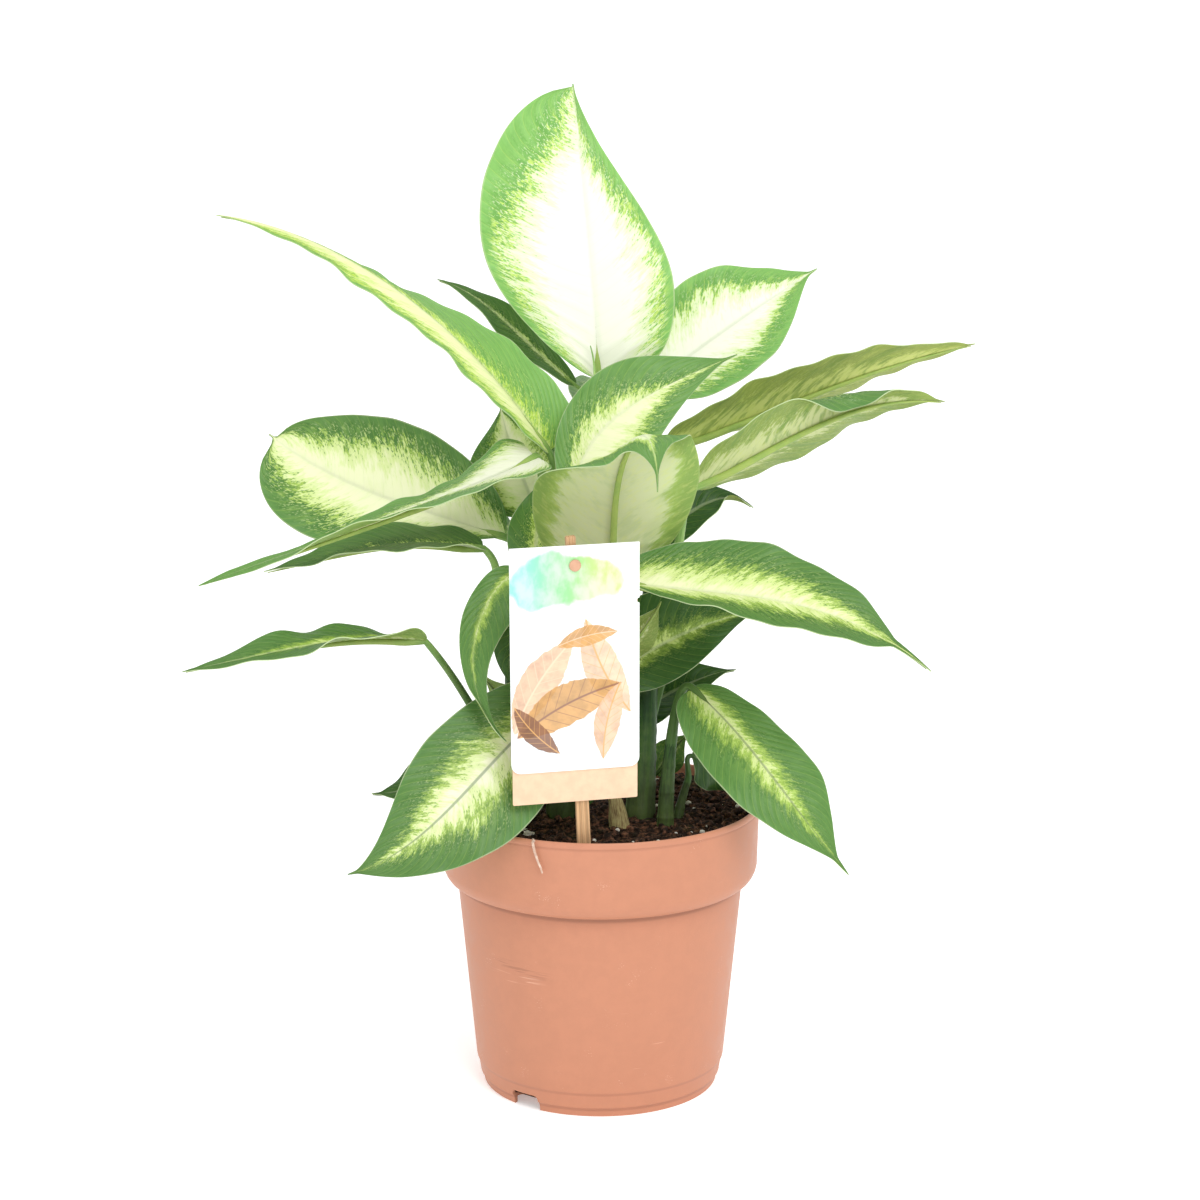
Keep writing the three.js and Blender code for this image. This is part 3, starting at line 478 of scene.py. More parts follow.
class StageSettings(bpy.types.PropertyGroup):
    """The floor and the light."""

    floor: colour("Floor", "Colour of the floor", (0.97, 0.97, 0.97))
    lift: share("Lift", "How much the floor is lit up to hide the horizon", 0.3)
    sky: bpy.props.FloatProperty(
        name="Sky", description="Strength of the even light all round", default=1.0, min=0.0)
    key: power("Key light", "Power of the main soft light", 27.0)
    fill: power("Fill light", "Power of the second soft light", 0.4)


class PlantSettings(bpy.types.PropertyGroup):
    """All the settings, as the scene holds them."""

    pot: bpy.props.PointerProperty(type=PotSettings, name="Pot")
    mix: bpy.props.PointerProperty(type=MixSettings, name="Potting mix")
    leaf: bpy.props.PointerProperty(type=LeafSettings, name="Leaves")
    label: bpy.props.PointerProperty(type=LabelSettings, name="Label")
    stage: bpy.props.PointerProperty(type=StageSettings, name="Stage")


# ---------- curves and surfaces ----------

def spread(values, t):
    """The values at each t of a smooth curve through values at equal steps from 0 to 1."""
    values = np.asarray(values, float)
    t = np.asarray(t, float)
    last = len(values) - 1
    if last == 0:
        return np.broadcast_to(values[0], t.shape + values[0].shape)
    result = np.zeros(t.shape + values[0].shape)
    for i, value in enumerate(values):
        weight = np.ones_like(t)
        for j in range(last + 1):
            if j != i:
                weight = weight * (t * last - j) / (i - j)
        result += weight[..., None] * value
    return result


def unit(vectors):
    """The same vectors, one long."""
    return vectors / np.maximum(np.linalg.norm(vectors, axis=-1, keepdims=True), 1e-9)


def square_to(vectors, axes):
    """The part of each vector that stands square to its axis, one long."""
    return unit(vectors - axes * np.sum(vectors * axes, axis=-1, keepdims=True))


def along(values, t):
    """The direction at each t of the curve that spread makes."""
    step = 1e-3
    return unit(spread(values, t + step) - spread(values, t - step))


def span(points):
    """The distance from the first point to the last."""
    return np.linalg.norm(np.subtract(points[-1], points[0]))


def between(ends, part):
    """The value at a part of the way from one end to the other."""
    return ends[0] + (ends[1] - ends[0]) * part


def ease(value, low, high):
    """0 below low, 1 above high and smooth between them."""
    x = np.clip((value - low) / (high - low), 0, 1)
    return x * x * (3 - 2 * x)


def outline(t, peak, pointed, base):
    """Half the width of a blade at t, as a share of its widest."""
    s = np.clip(t, 1e-6, 1 - 1e-6) ** (math.log(0.5) / math.log(peak))
    return np.sin(np.pi * s) ** np.where(s < 0.5, base, pointed)


def blade_frame(leaf, t):
    """The midrib's points at each t, with the ways along it, out of its face and to its right."""
    forward = along(leaf["midrib"], t)
    face = unit(np.asarray(leaf["face"], float))
    up = square_to(spread(face, t), forward)
    return spread(leaf["midrib"], t), forward, up, np.cross(forward, up)


def blade_points(leaf, u, t):
    """Points of a blade's middle surface; u runs from -1, its left margin, to 1."""
    point, _, up, right = blade_frame(leaf, t)
    fold, curl = spread(leaf["fold"], t), spread(leaf["curl"], t)
    height, count, phase = leaf["wave"]
    left = u < 0
    reach = np.abs(u)
    size = span(leaf["midrib"])
    # The blade ends where the awn begins, and the awn tapers from there.
    blade = t / (1 - leaf["awn"] / size)
    width = np.where(left, *(
        half * outline(blade, peak, tip, leaf["base"])
        for half, peak, tip in zip(leaf["half"], leaf["peak"], leaf["tip"])))
    awn = AWN_TAPER * leaf["awn"] * np.clip((1 - t) * size / leaf["awn"], 0, 1)
    width = np.sqrt(width ** 2 + awn ** 2) + EDGE_LEAST
    # Each half leaves the midrib at the angle start, and turns on by the angle turn.
    start = np.radians(np.where(left, fold[..., 0], fold[..., 1]))
    turn = np.radians(np.where(left, curl[..., 0], curl[..., 1]))
    for side, at, wide, degrees in leaf["flap"]:
        added = math.radians(degrees) * np.exp(-((t - at) / wide) ** 2) * (left == (side < 0))
        turn, start = turn + added, start - 0.33 * np.minimum(added, 0)
    turn = np.where(np.abs(turn) < 1e-4, 1e-4, turn)
    across = width * (np.sin(start + turn * reach) - np.sin(start)) / turn
    ripple = height * reach ** 2 * np.minimum(1, width / 10)
    wave = ripple * np.sin(TAU * count * t + math.radians(phase) + np.where(left, 0, 1.7))
    lift = width * (np.cos(start) - np.cos(start + turn * reach)) / turn + wave
    # Fine form that the CAD blade leaves out: the channel over the midrib, the swelling between
    # the side veins and the small ripples of the margin.
    full = np.minimum(1, width / 14)
    sign = np.where(left, -1.0, 1.0)
    vein = TAU * size / (2 * SWELL_STEP) * (t - VEIN_SLANT * reach ** 1.3)
    lift = lift - CHANNEL_DEPTH * full * np.exp(-(reach * width / CHANNEL_WIDTH) ** 2)
    swell = np.sin(vein) * np.sin(np.pi * np.minimum(1, reach)) ** 0.7
    lift = lift + SWELL_HEIGHT * full * swell
    first, second = (TAU * size / step * t for step in FRILL_STEPS)
    frill = np.sin(first + 2.1 * count + phase) + 0.7 * np.sin(second + phase - sign)
    lift = lift + FRILL_HEIGHT * full * reach ** 4 * frill
    return point + right * (sign * across)[..., None] + up * lift[..., None]


def blade_place(leaf, x, y):
    """Where a vertex of a blade's grid goes; columns are closer by the midrib, rows by the ends."""
    u = np.sign(x) * np.abs(x) ** 1.2
    t = 0.004 + 0.994 * (y - 0.054 * np.sin(TAU * y))
    return blade_points(leaf, u, t), ((u + 1) / 2, t)


def stalk_path(leaf):
    """Rings of a leaf stalk, from its sheath on the cane to the blade and on as the midrib: their
    centre, right, up, half width and half height, and how deep they are grooved."""
    shoot, at = SHOOTS[leaf["shoot"]], leaf["at"]
    origin, rise = spread(shoot["axis"], at), along(shoot["axis"], at)
    radius = between(shoot["radius"], at)
    foot, forward, foot_up, _ = blade_frame(leaf, np.float64(0))
    if "side" in leaf:
        away = math.radians(leaf["side"])
    else:
        away = math.atan2(foot[1] - origin[1], foot[0] - origin[0])
    outward = np.array([math.cos(away), math.sin(away), 0.0])
    on_top = at == 1
    slender = min(1, leaf["half"][0] / SLENDER_HALF)
    thick = STALK[0] * slender
    offset = 0.0 if on_top else radius + thick + STALK_GAP
    start = origin + (rise * 0.6 if on_top else outward * offset)
    reach = np.linalg.norm(foot - start)
    points = [start, start + rise * 0.4 * reach + outward * (0 if on_top else 0.12 * reach),
              foot + leaf.get("stem", -forward * leaf["sweep"] * reach), foot]
    # The stalk from its cane to the blade.
    s = np.linspace(0, 1, 22)
    curve = sum(point * (binomial * s ** i * (1 - s) ** (3 - i))[:, None]
                for i, (point, binomial) in enumerate(zip(points, (1, 3, 3, 1))))
    # The sheath below it, which clasps the cane.
    drop = min(at, (SHEATH_LENGTH * slender + SHEATH_LEAST) / span(shoot["axis"]))
    q = np.linspace(0, 1, 9)[:-1]
    clasp = spread(shoot["axis"], at - drop * (1 - q))
    if not on_top:
        inset = radius * 0.35 * ease(q, 0, 1) + (offset - radius * 0.35) * ease(q, 0.25, 1.15)
        clasp = clasp + outward * inset[:, None]
    wide_foot = radius * 1.02 if on_top else 0.72 * radius + 1.3 * slender
    thick_foot = radius * 1.02 if on_top else thick
    body = between(STALK, s) * slender
    fade = 1 - ease(s, 0, 0.45)
    flare, flat = 1 + (wide_foot / thick - 1) * fade, 1 + (thick_foot / thick - 1) * fade
    # On under the blade as its midrib.
    t = np.linspace(0, 1, 34)[1:]
    point, _, up, _ = blade_frame(leaf, t * 0.985)
    rib = MIDRIB_RADIUS * slender * (1 - t) ** 0.85 + MIDRIB_LEAST
    sink = (0.75 + rib * 0.85) * ease(t, -0.02, 0.12)
    centre = np.concatenate([clasp, curve, point - up * sink[:, None]])
    clasp_width = np.full(len(q), wide_foot) * (0.75 + 0.25 * ease(q, 0, 0.5))
    half_width = np.concatenate([clasp_width, body * flare, rib])
    half_height = np.concatenate([np.full(len(q), thick_foot), body * flat, rib])
    groove = np.concatenate([np.zeros(len(q)), ease(s, 0.05, 0.5), np.zeros(len(t))])
    # Turn the rings so that none is twisted against the next one.
    tangent = unit(np.gradient(centre, axis=0))
    first_rib = len(q) + len(s)
    ups = np.concatenate([np.zeros((first_rib, 3)), up])
    for i in range(first_rib - 1, -1, -1):
        foot_up = ups[i] = square_to(foot_up, tangent[i])
    ups = square_to(ups, tangent)
    return centre, np.cross(tangent, ups), ups, half_width, half_height, groove


# ---------- modelling steps ----------

def deselect():
    """Leave nothing selected."""
    if bpy.context.mode != "OBJECT":
        bpy.ops.object.mode_set(mode="OBJECT")
    bpy.ops.object.select_all(action="DESELECT")


def pick(*objects):
    """Select only these objects; the first is the active one."""
    deselect()
    for piece in objects:
        piece.select_set(True)
    bpy.context.view_layer.objects.active = objects[0]


def named(piece, name):
    """Name a piece and its mesh."""
    piece.name = piece.data.name = name
    return piece


def apply_modifier(piece, kind, **settings):
    """Add a modifier to a piece and apply it."""
    pick(piece)
    modifier = piece.modifiers.new(kind.title(), kind)
    for key, value in settings.items():
        setattr(modifier, key, value)
    bpy.ops.object.modifier_apply(modifier=modifier.name)


def merge(piece, distance=1e-6, outward=True):
    """Merge the doubles of a piece and turn its faces outwards."""
    pick(piece)
    bpy.ops.object.mode_set(mode="EDIT")
    bpy.ops.mesh.select_all(action="SELECT")
    bpy.ops.mesh.remove_doubles(threshold=distance)
    if outward:
        bpy.ops.mesh.normals_make_consistent(inside=False)
    bpy.ops.object.mode_set(mode="OBJECT")


def smooth(piece, angle):
    """Shade a piece smooth where its faces meet at less than the angle."""
    pick(piece)
    bpy.ops.object.shade_smooth_by_angle(angle=math.radians(angle))


def sheet(name, columns, rows, place):
    """A grid whose vertices place(x, y) puts in millimetres; x runs from -1 to 1, y from 0 to 1."""
    deselect()
    bpy.ops.mesh.primitive_grid_add(x_subdivisions=columns, y_subdivisions=rows, size=2)
    piece = named(bpy.context.object, name)
    flat = np.zeros(len(piece.data.vertices) * 3)
    piece.data.vertices.foreach_get("co", flat)
    flat = flat.reshape(-1, 3)
    points, uv = place(flat[:, 0], (flat[:, 1] + 1) / 2)
    piece.data.vertices.foreach_set("co", (np.asarray(points) * MM).ravel())
    layer = piece.data.uv_layers.active or piece.data.uv_layers.new(name="UVMap")
    corners = np.zeros(len(piece.data.loops), np.int32)
    piece.data.loops.foreach_get("vertex_index", corners)
    layer.data.foreach_set("uv", np.stack(uv, axis=1)[corners].ravel())
    piece.data.update()
    return piece


def tube(name, centre, right, up, half_width, half_height, sides=16, groove=None, shape=None):
    """A closed tube through rings, drawn in to a point at each end. groove hollows its upper side,
    and shape(angle, y) gives each vertex's share of the ring's width and height."""
    centre, right, up = (np.concatenate([v[:1], v, v[-1:]]) for v in (centre, right, up))
    if groove is None:
        groove = np.zeros(len(half_width))
    wide, high, hollow = (np.pad(v, 1) for v in (half_width, half_height, groove))
    last = len(centre) - 1

    def place(x, y):
        ring = np.rint(y * last).astype(int)
        angle = np.pi * x - np.pi / 2
        off_top = np.angle(np.exp(1j * (angle - np.pi / 2)))
        bulge = 1 - 0.42 * hollow[ring] * np.exp(-(off_top / 0.5) ** 2)
        flat, deep = (1, 1) if shape is None else shape(angle, y)
        across = (wide[ring] * bulge * flat * np.cos(angle))[:, None]
        lift = (high[ring] * bulge * deep * np.sin(angle))[:, None]
        return centre[ring] + right[ring] * across + up[ring] * lift, ((x + 1) / 2, y)

    piece = sheet(name, sides, last, place)
    merge(piece)
    return piece


def straight_frames(centre):
    """Right and up for rings along a path that never runs level with +Y."""
    tangent = unit(np.gradient(centre, axis=0))
    right = unit(np.cross(np.array([0.0, 1.0, 0.0]), tangent))
    return right, np.cross(tangent, right)


def strand(name, path, radius, sides):
    """A thin tube along a path, thinner towards its ends."""
    taper = radius * (0.45 + 0.55 * np.sin(np.pi * np.linspace(0.06, 0.94, len(path))))
    return tube(name, path, *straight_frames(path), taper, taper, sides)


def lathe(name, profile, segments=128):
    """A closed body of revolution, drawn out ring by ring; its first and last rings are filled."""
    radius, height = profile[0]
    deselect()
    bpy.ops.mesh.primitive_circle_add(
        vertices=segments, radius=radius * MM, location=(0, 0, height * MM), fill_type="TRIFAN")
    piece = named(bpy.context.object, name)
    bpy.ops.object.transform_apply(location=True)
    bpy.ops.object.mode_set(mode="EDIT")
    bpy.ops.mesh.select_all(action="SELECT")
    bpy.ops.mesh.region_to_loop()
    for r, z in profile[1:]:
        rise = (0, 0, (z - height) * MM)
        bpy.ops.mesh.extrude_edges_move(TRANSFORM_OT_translate={"value": rise})
        bpy.ops.transform.resize(value=(r / radius, r / radius, 1), center_override=(0, 0, 0))
        radius, height = r, z
    bpy.ops.mesh.extrude_edges_move()
    bpy.ops.mesh.merge(type="CENTER")
    bpy.ops.mesh.select_all(action="SELECT")
    bpy.ops.mesh.normals_make_consistent(inside=False)
    bpy.ops.object.mode_set(mode="OBJECT")
    return piece


def cylinder(radius, depth, place, vertices, turn=(0, 0, 0)):
    """A cylinder in millimetres, upright unless it is turned."""
    deselect()
    bpy.ops.mesh.primitive_cylinder_add(
        vertices=vertices, radius=radius * MM, depth=depth * MM, rotation=turn,
        location=[value * MM for value in place])
    return bpy.context.object


def cut(piece, *cutters):
    """Take the cutters out of a piece."""
    cutter = join("cutter", *cutters)
    apply_modifier(piece, "BOOLEAN", object=cutter, operation="DIFFERENCE", solver="EXACT")
    pick(cutter)
    bpy.ops.object.delete()


def scatter(name, spots):
    """Small lumps in one mesh; spots gives each one's place, size and turn, in millimetres."""
    deselect()
    bpy.ops.mesh.primitive_ico_sphere_add(subdivisions=1, radius=1)
    lump = bpy.context.object
    corners = np.array([v.co[:] for v in lump.data.vertices])
    faces = np.array([f.vertices[:] for f in lump.data.polygons])
    points = np.concatenate(
        [turn @ (corners * size).T + place[:, None] for place, size, turn in spots], axis=1)
    index = np.concatenate([faces + i * len(corners) for i in range(len(spots))])
    data = bpy.data.meshes.new(name)
    data.from_pydata((points.T * MM).tolist(), [], index.tolist())
    lump.data = data
    lump.name = name
    return lump


def join(name, *pieces):
    """Make several pieces one mesh."""
    pick(*pieces)
    bpy.ops.object.join()
    return named(bpy.context.object, name)


def dress(piece, *materials):
    """Give a new piece its materials, one for each of its slots."""
    for material in materials:
        piece.data.materials.append(material)


def paint(piece, index):
    """Put all the faces of a piece on one material slot."""
    piece.data.polygons.foreach_set("material_index", [index] * len(piece.data.polygons))


def settle(piece, slot, *nodes):
    """Tie a finished piece to the frame."""
    pick(piece)
    bpy.ops.object.transform_apply(location=True, rotation=True, scale=True)
    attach(piece, "root")
    if nodes:
        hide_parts(*nodes)


# ---------- shader nodes ----------

FLOAT, COLOUR, VECTOR = "NodeSocketFloat", "NodeSocketColor", "NodeSocketVector"


class Net:
    """Writes a node tree: each call adds a node, feeds it and returns its output."""

    def __init__(self, tree):
        self.tree = tree

    def add(self, kind, feeds=(), **settings):
        node = self.tree.nodes.new(kind)
        row, column = divmod(len(self.tree.nodes), 9)
        node.location = (220 * column - 1600, -220 * row)
        for key, value in settings.items():
            setattr(node, key, value)
        for key, value in dict(feeds).items():
            self.feed(node.inputs[key], value)
        return node

    def feed(self, socket, value):
        if isinstance(value, bpy.types.NodeSocket):
            self.tree.links.new(value, socket)
        elif socket.type == "RGBA":
            socket.default_value = (*value[:3], 1.0)
        else:
            socket.default_value = value

    def math(self, operation, *values, clamp=False):
        feeds = enumerate(values)
        return self.add("ShaderNodeMath", feeds, operation=operation, use_clamp=clamp).outputs[0]

    def chain(self, operation, first, *others):
        """One step between several values, from the left."""
        for value in others:
            first = self.math(operation, first, value)
        return first

    def times(self, *values):
        return self.chain("MULTIPLY", *values)

    def plus(self, *values):
        return self.chain("ADD", *values)

    def minus(self, a, b):
        return self.math("SUBTRACT", a, b)

    def most(self, *values):
        return self.chain("MAXIMUM", *values)

    def times_plus(self, a, b, c, clamp=False):
        return self.math("MULTIPLY_ADD", a, b, c, clamp=clamp)

    def step(self, value, low, high, to_low=0.0, to_high=1.0):
        feeds = {"Value": value, "From Min": low, "From Max": high, "To Min": to_low,
                 "To Max": to_high}
        return self.add("ShaderNodeMapRange", feeds, interpolation_type="SMOOTHSTEP").outputs[0]

    def mix(self, factor, a, b, blend_type="MIX"):
        feeds = {0: factor, 6: a, 7: b}
        return self.add("ShaderNodeMix", feeds, data_type="RGBA", blend_type=blend_type).outputs[2]

    def blend(self, factor, a, b):
        return self.add("ShaderNodeMix", {0: factor, 2: a, 3: b}, data_type="FLOAT").outputs[0]

    def vector(self, x=0.0, y=0.0, z=0.0):
        return self.add("ShaderNodeCombineXYZ", {0: x, 1: y, 2: z}).outputs[0]

    def parts(self, vector):
        return self.add("ShaderNodeSeparateXYZ", {0: vector}).outputs

    def noise(self, vector, scale=1.0, detail=2.0, roughness=0.5):
        feeds = {"Vector": vector, "Scale": scale, "Detail": detail, "Roughness": roughness}
        return self.add("ShaderNodeTexNoise", feeds).outputs[0]

    def cells(self, vector, scale):
        return self.add("ShaderNodeTexVoronoi", {"Vector": vector, "Scale": scale}).outputs[0]

    def place(self):
        return self.add("ShaderNodeTexCoord").outputs["Object"]

    def uv(self):
        return self.add("ShaderNodeUVMap", uv_map="UVMap").outputs[0]

    def stretched(self, scales, detail, roughness=0.5):
        """Noise that is stretched: over the UV map for two scales, over the object for three."""
        source = self.parts(self.uv() if len(scales) == 2 else self.place())
        where = [self.times(part, scale) for part, scale in zip(source, scales)]
        return self.noise(self.vector(*where), 1.0, detail, roughness)

    def bump(self, height, distance, strength=1.0):
        feeds = {"Height": height, "Distance": distance, "Strength": strength}
        return self.add("ShaderNodeBump", feeds).outputs[0]

    def local(self, given, wide, high):
        """Where a place lies in a shape of its own, from the shape's place, turn and two sizes."""
        u, v, _ = self.parts(given["At"])
        dx, dy = self.minus(u, given["X"]), self.minus(v, given["Y"])
        cos, sin = self.math("COSINE", given["Turn"]), self.math("SINE", given["Turn"])
        x = self.plus(self.times(dx, cos), self.times(dy, sin))
        y = self.minus(self.times(dy, cos), self.times(dx, sin))
        return self.math("DIVIDE", x, given[wide]), self.math("DIVIDE", y, given[high])

    def use(self, name, feeds=()):
        """Place a shared node group and return its outputs."""
        node = self.add("ShaderNodeGroup")
        node.node_tree = bpy.data.node_groups[name]
        for key, value in dict(feeds).items():
            self.feed(node.inputs[key], value)
        return node.outputs


def group(name, inputs, outputs):
    """A shared node group with named sockets; returns its net, its inputs and its output node."""
    tree = bpy.data.node_groups.new(name, "ShaderNodeTree")
    for label, kind, value in inputs:
        socket = tree.interface.new_socket(label, in_out="INPUT", socket_type=kind)
        if kind == COLOUR:
            socket.default_value = (*value, 1.0)
        elif kind == FLOAT:
            socket.default_value = value
    for label in outputs:
        kind = COLOUR if label == "Color" else FLOAT
        tree.interface.new_socket(label, in_out="OUTPUT", socket_type=kind)
    net = Net(tree)
    entry = net.add("NodeGroupInput")
    return net, entry.outputs, net.add("NodeGroupOutput")


def material(name):
    """A new material, with its net and its Principled BSDF."""
    made = bpy.data.materials.new(name)
    made.use_nodes = True
    return made, Net(made.node_tree), made.node_tree.nodes["Principled BSDF"]


def finish(net, shader, tint, roughness, normal=None, specular=None):
    """Feed a Principled BSDF; its specular level stays a plain number for the export."""
    net.feed(shader.inputs["Base Color"], tint)
    net.feed(shader.inputs["Roughness"], roughness)
    if normal is not None:
        net.feed(shader.inputs["Normal"], normal)
    if specular is not None:
        shader.inputs["Specular IOR Level"].default_value = specular


def shaded(tint, factor):
    """A colour made darker or lighter by a factor."""
    return tuple(factor * value for value in tint)


def mixed(a, b, part):
    """A colour that lies a part of the way from one to another."""
    return tuple(between(ends, part) for ends in zip(a, b))


def build_leaf_pattern():
    """The variegation of a blade: pale by the midrib, feathered along the side veins into green."""
    net, given, out = group("Leaf variegation", [
        ("Centre", COLOUR, (0.8, 0.86, 0.5)), ("Yellow", COLOUR, (0.8, 0.9, 0.4)),
        ("Lime", COLOUR, (0.4, 0.66, 0.12)), ("Green", COLOUR, (0.1, 0.3, 0.06)),
        ("Reach Foot", FLOAT, 0.5), ("Reach Middle", FLOAT, 0.5), ("Reach Tip", FLOAT, 0.2),
        ("Feather", FLOAT, 0.3), ("Fleck", FLOAT, 0.5), ("Veins", FLOAT, 20.0),
        ("Rib", FLOAT, 0.03), ("Rib Tint", FLOAT, 0.4), ("Rib Color", COLOUR, RIB_PALE),
        ("Gold", FLOAT, 0.5), ("Soft", FLOAT, 0.11), ("Lean", FLOAT, 0.0), ("Seed", FLOAT, 0.0),
    ], ("Color", "Height", "Cream", "Rib", "Mottle", "Fine"))
    lime, green, yellow = given["Lime"], given["Green"], given["Yellow"]
    u, v, _ = net.parts(net.uv())
    signed = net.times_plus(u, 2.0, -1.0)
    across = net.math("ABSOLUTE", signed)
    side = net.math("GREATER_THAN", signed, 0.0)
    seed = net.times_plus(side, 7.3, given["Seed"])
    # slant is the same all along one side vein, and lines counts the side veins.
    slant = net.minus(v, net.times(net.math("POWER", across, 1.3), VEIN_SLANT))
    lines = net.times(slant, given["Veins"])

    def streaks(fine, length, shift, detail=3.0):
        where = net.vector(net.times(lines, fine), net.times(across, length),
                           net.plus(seed, shift))
        return net.minus(net.noise(where, 1.0, detail, 0.62), 0.5)

    broad = streaks(0.5, 1.5, 0.0)
    middle = streaks(1.5, 3.2, 11.0)
    fine = streaks(4.5, 9.0, 23.0)
    spots = streaks(2.6, 12.0, 51.0, 2.0)
    dots = streaks(7.5, 26.0, 37.0, 1.0)
    reach = net.blend(net.step(v, 0.0, 0.4), given["Reach Foot"], given["Reach Middle"])
    reach = net.blend(net.step(v, 0.45, 0.97), reach, given["Reach Tip"])
    reach = net.times_plus(net.times_plus(side, 2.0, -1.0), given["Lean"], reach)
    finest = net.times(fine, net.step(given["Soft"], 0.1, 0.3, 2.2, 1.1))
    ragged = net.plus(net.times(broad, 1.5), net.times(middle, 1.9), finest)
    # edge is below 0 in the cream and above it in the green.
    edge = net.times_plus(ragged, given["Feather"], net.minus(across, reach))
    # From the pale centre over yellow and lime to green.
    streaked = net.step(net.times_plus(fine, 0.6, middle), -0.08, 0.2)
    yellowed = net.most(net.times(streaked, given["Gold"], 0.45), net.step(edge, -0.40, -0.06))
    base = net.mix(yellowed, given["Centre"], yellow)
    base = net.mix(net.step(edge, -0.06, 0.04), base, lime)
    deep = net.times_plus(net.plus(middle, fine), 0.9, 0.5, clamp=True)
    leafy = net.mix(deep, net.mix(1.0, green, (0.62, 0.72, 0.60), "MULTIPLY"),
                    net.mix(0.12, green, lime))
    inner = net.times(net.step(edge, 0.5, 0.1), 0.55)
    leafy = net.mix(inner, leafy, net.mix(1.0, green, (0.45, 0.60, 0.40), "MULTIPLY"))
    band = net.times(net.step(net.plus(broad, middle), 0.06, 0.26), net.step(edge, 0.75, 0.1), 0.32)
    leafy = net.mix(band, leafy, lime)
    base = net.mix(net.step(edge, 0.0, given["Soft"]), base, leafy)
    # Lime islands in the green, fewer towards the margin, and green ones in the yellow.
    fading = net.times(net.step(edge, 0.6, 0.02), net.step(across, 0.97, 0.84),
                       net.step(edge, -0.06, 0.03))
    fading = net.times(fading, given["Fleck"])
    rarer = net.times_plus(net.step(edge, 0.0, 0.45), 0.16, 0.1)
    rarer = net.times_plus(given["Fleck"], -0.07, rarer)
    island = net.step(net.minus(net.times_plus(middle, 0.6, spots), rarer), 0.0, 0.05)
    base = net.mix(net.times(island, fading, 0.85), base, lime)
    base = net.mix(net.times(net.step(dots, 0.07, 0.13), fading, 0.7), base, yellow)
    near = net.times(net.step(edge, -0.14, -0.03), net.step(edge, 0.12, 0.02), given["Fleck"])
    base = net.mix(net.times(net.step(dots, -0.06, -0.13), near), base, green)
    # A plainer green along the margin.
    base = net.mix(net.step(across, 0.84, 0.97, 0.0, 0.55), base, green)
    # Side veins, midrib and the clear edge.
    fold = net.math("PINGPONG", lines, 0.5)
    pale = net.step(edge, 0.1, -0.1)
    vein = net.times(net.step(fold, 0.07, 0.0), net.blend(pale, 0.25, 0.1))
    base = net.mix(vein, base, net.mix(pale, lime, (0.60, 0.62, 0.50)))
    rib = net.step(across, net.times(given["Rib"], 1.5), net.times(given["Rib"], 0.5))
    base = net.mix(net.times(rib, given["Rib Tint"]), base, given["Rib Color"])
    base = net.mix(net.step(across, 0.978, 0.992, 0.0, 0.5), base, (0.66, 0.72, 0.46))
    pillow = net.math("POWER", net.times(fold, 2.0), 0.55)
    height = net.times_plus(net.plus(fine, middle), 0.35, pillow)
    mottle = net.plus(net.times(broad, 0.8), middle)
    for name, value in (("Color", base), ("Height", height), ("Cream", pale), ("Rib", rib),
                        ("Mottle", mottle), ("Fine", fine)):
        net.feed(out.inputs[name], value)


def build_speckle():
    """Fine grain on any surface: a mask of small dots, a soft mottle and a height."""
    net, given, out = group("Speckle", [
        ("Scale", FLOAT, 400.0), ("Amount", FLOAT, 0.4), ("Seed", FLOAT, 0.0),
    ], ("Dots", "Mottle", "Height"))
    scale = given["Scale"]
    feeds = {0: net.place(), 1: net.vector(given["Seed"])}
    shifted = net.add("ShaderNodeVectorMath", feeds).outputs[0]
    mask = net.noise(shifted, net.times(scale, 0.07), 2.0)
    some = net.step(mask, net.minus(0.72, net.times(given["Amount"], 0.3)), 0.75)
    dots = net.step(net.cells(shifted, scale), 0.22, 0.12)
    net.feed(out.inputs["Dots"], net.times(dots, some))
    net.feed(out.inputs["Mottle"], net.noise(shifted, net.times(scale, 0.12), 4.0, 0.6))
    net.feed(out.inputs["Height"], net.noise(shifted, scale, 2.0))


def build_soft_oval():
    """A soft oval spot, from its centre, its radii and its turn in the plane of the place given."""
    net, given, out = group("Soft oval", [
        ("At", VECTOR, None), ("X", FLOAT, 0.5), ("Y", FLOAT, 0.5), ("Wide", FLOAT, 0.2),
        ("High", FLOAT, 0.2), ("Turn", FLOAT, 0.0), ("Soft", FLOAT, 0.1), ("Ragged", FLOAT, 0.0),
        ("Grain", FLOAT, 5.0),
    ], ("Mask",))
    x, y = net.local(given, "Wide", "High")
    away = net.math("SQRT", net.plus(net.times(x, x), net.times(y, y)))
    wobble = net.minus(net.noise(given["At"], given["Grain"], 3.0), 0.5)
    away = net.times_plus(wobble, given["Ragged"], away)
    soft = given["Soft"]
    net.feed(out.inputs["Mask"], net.step(away, net.plus(1.0, soft), net.minus(1.0, soft)))


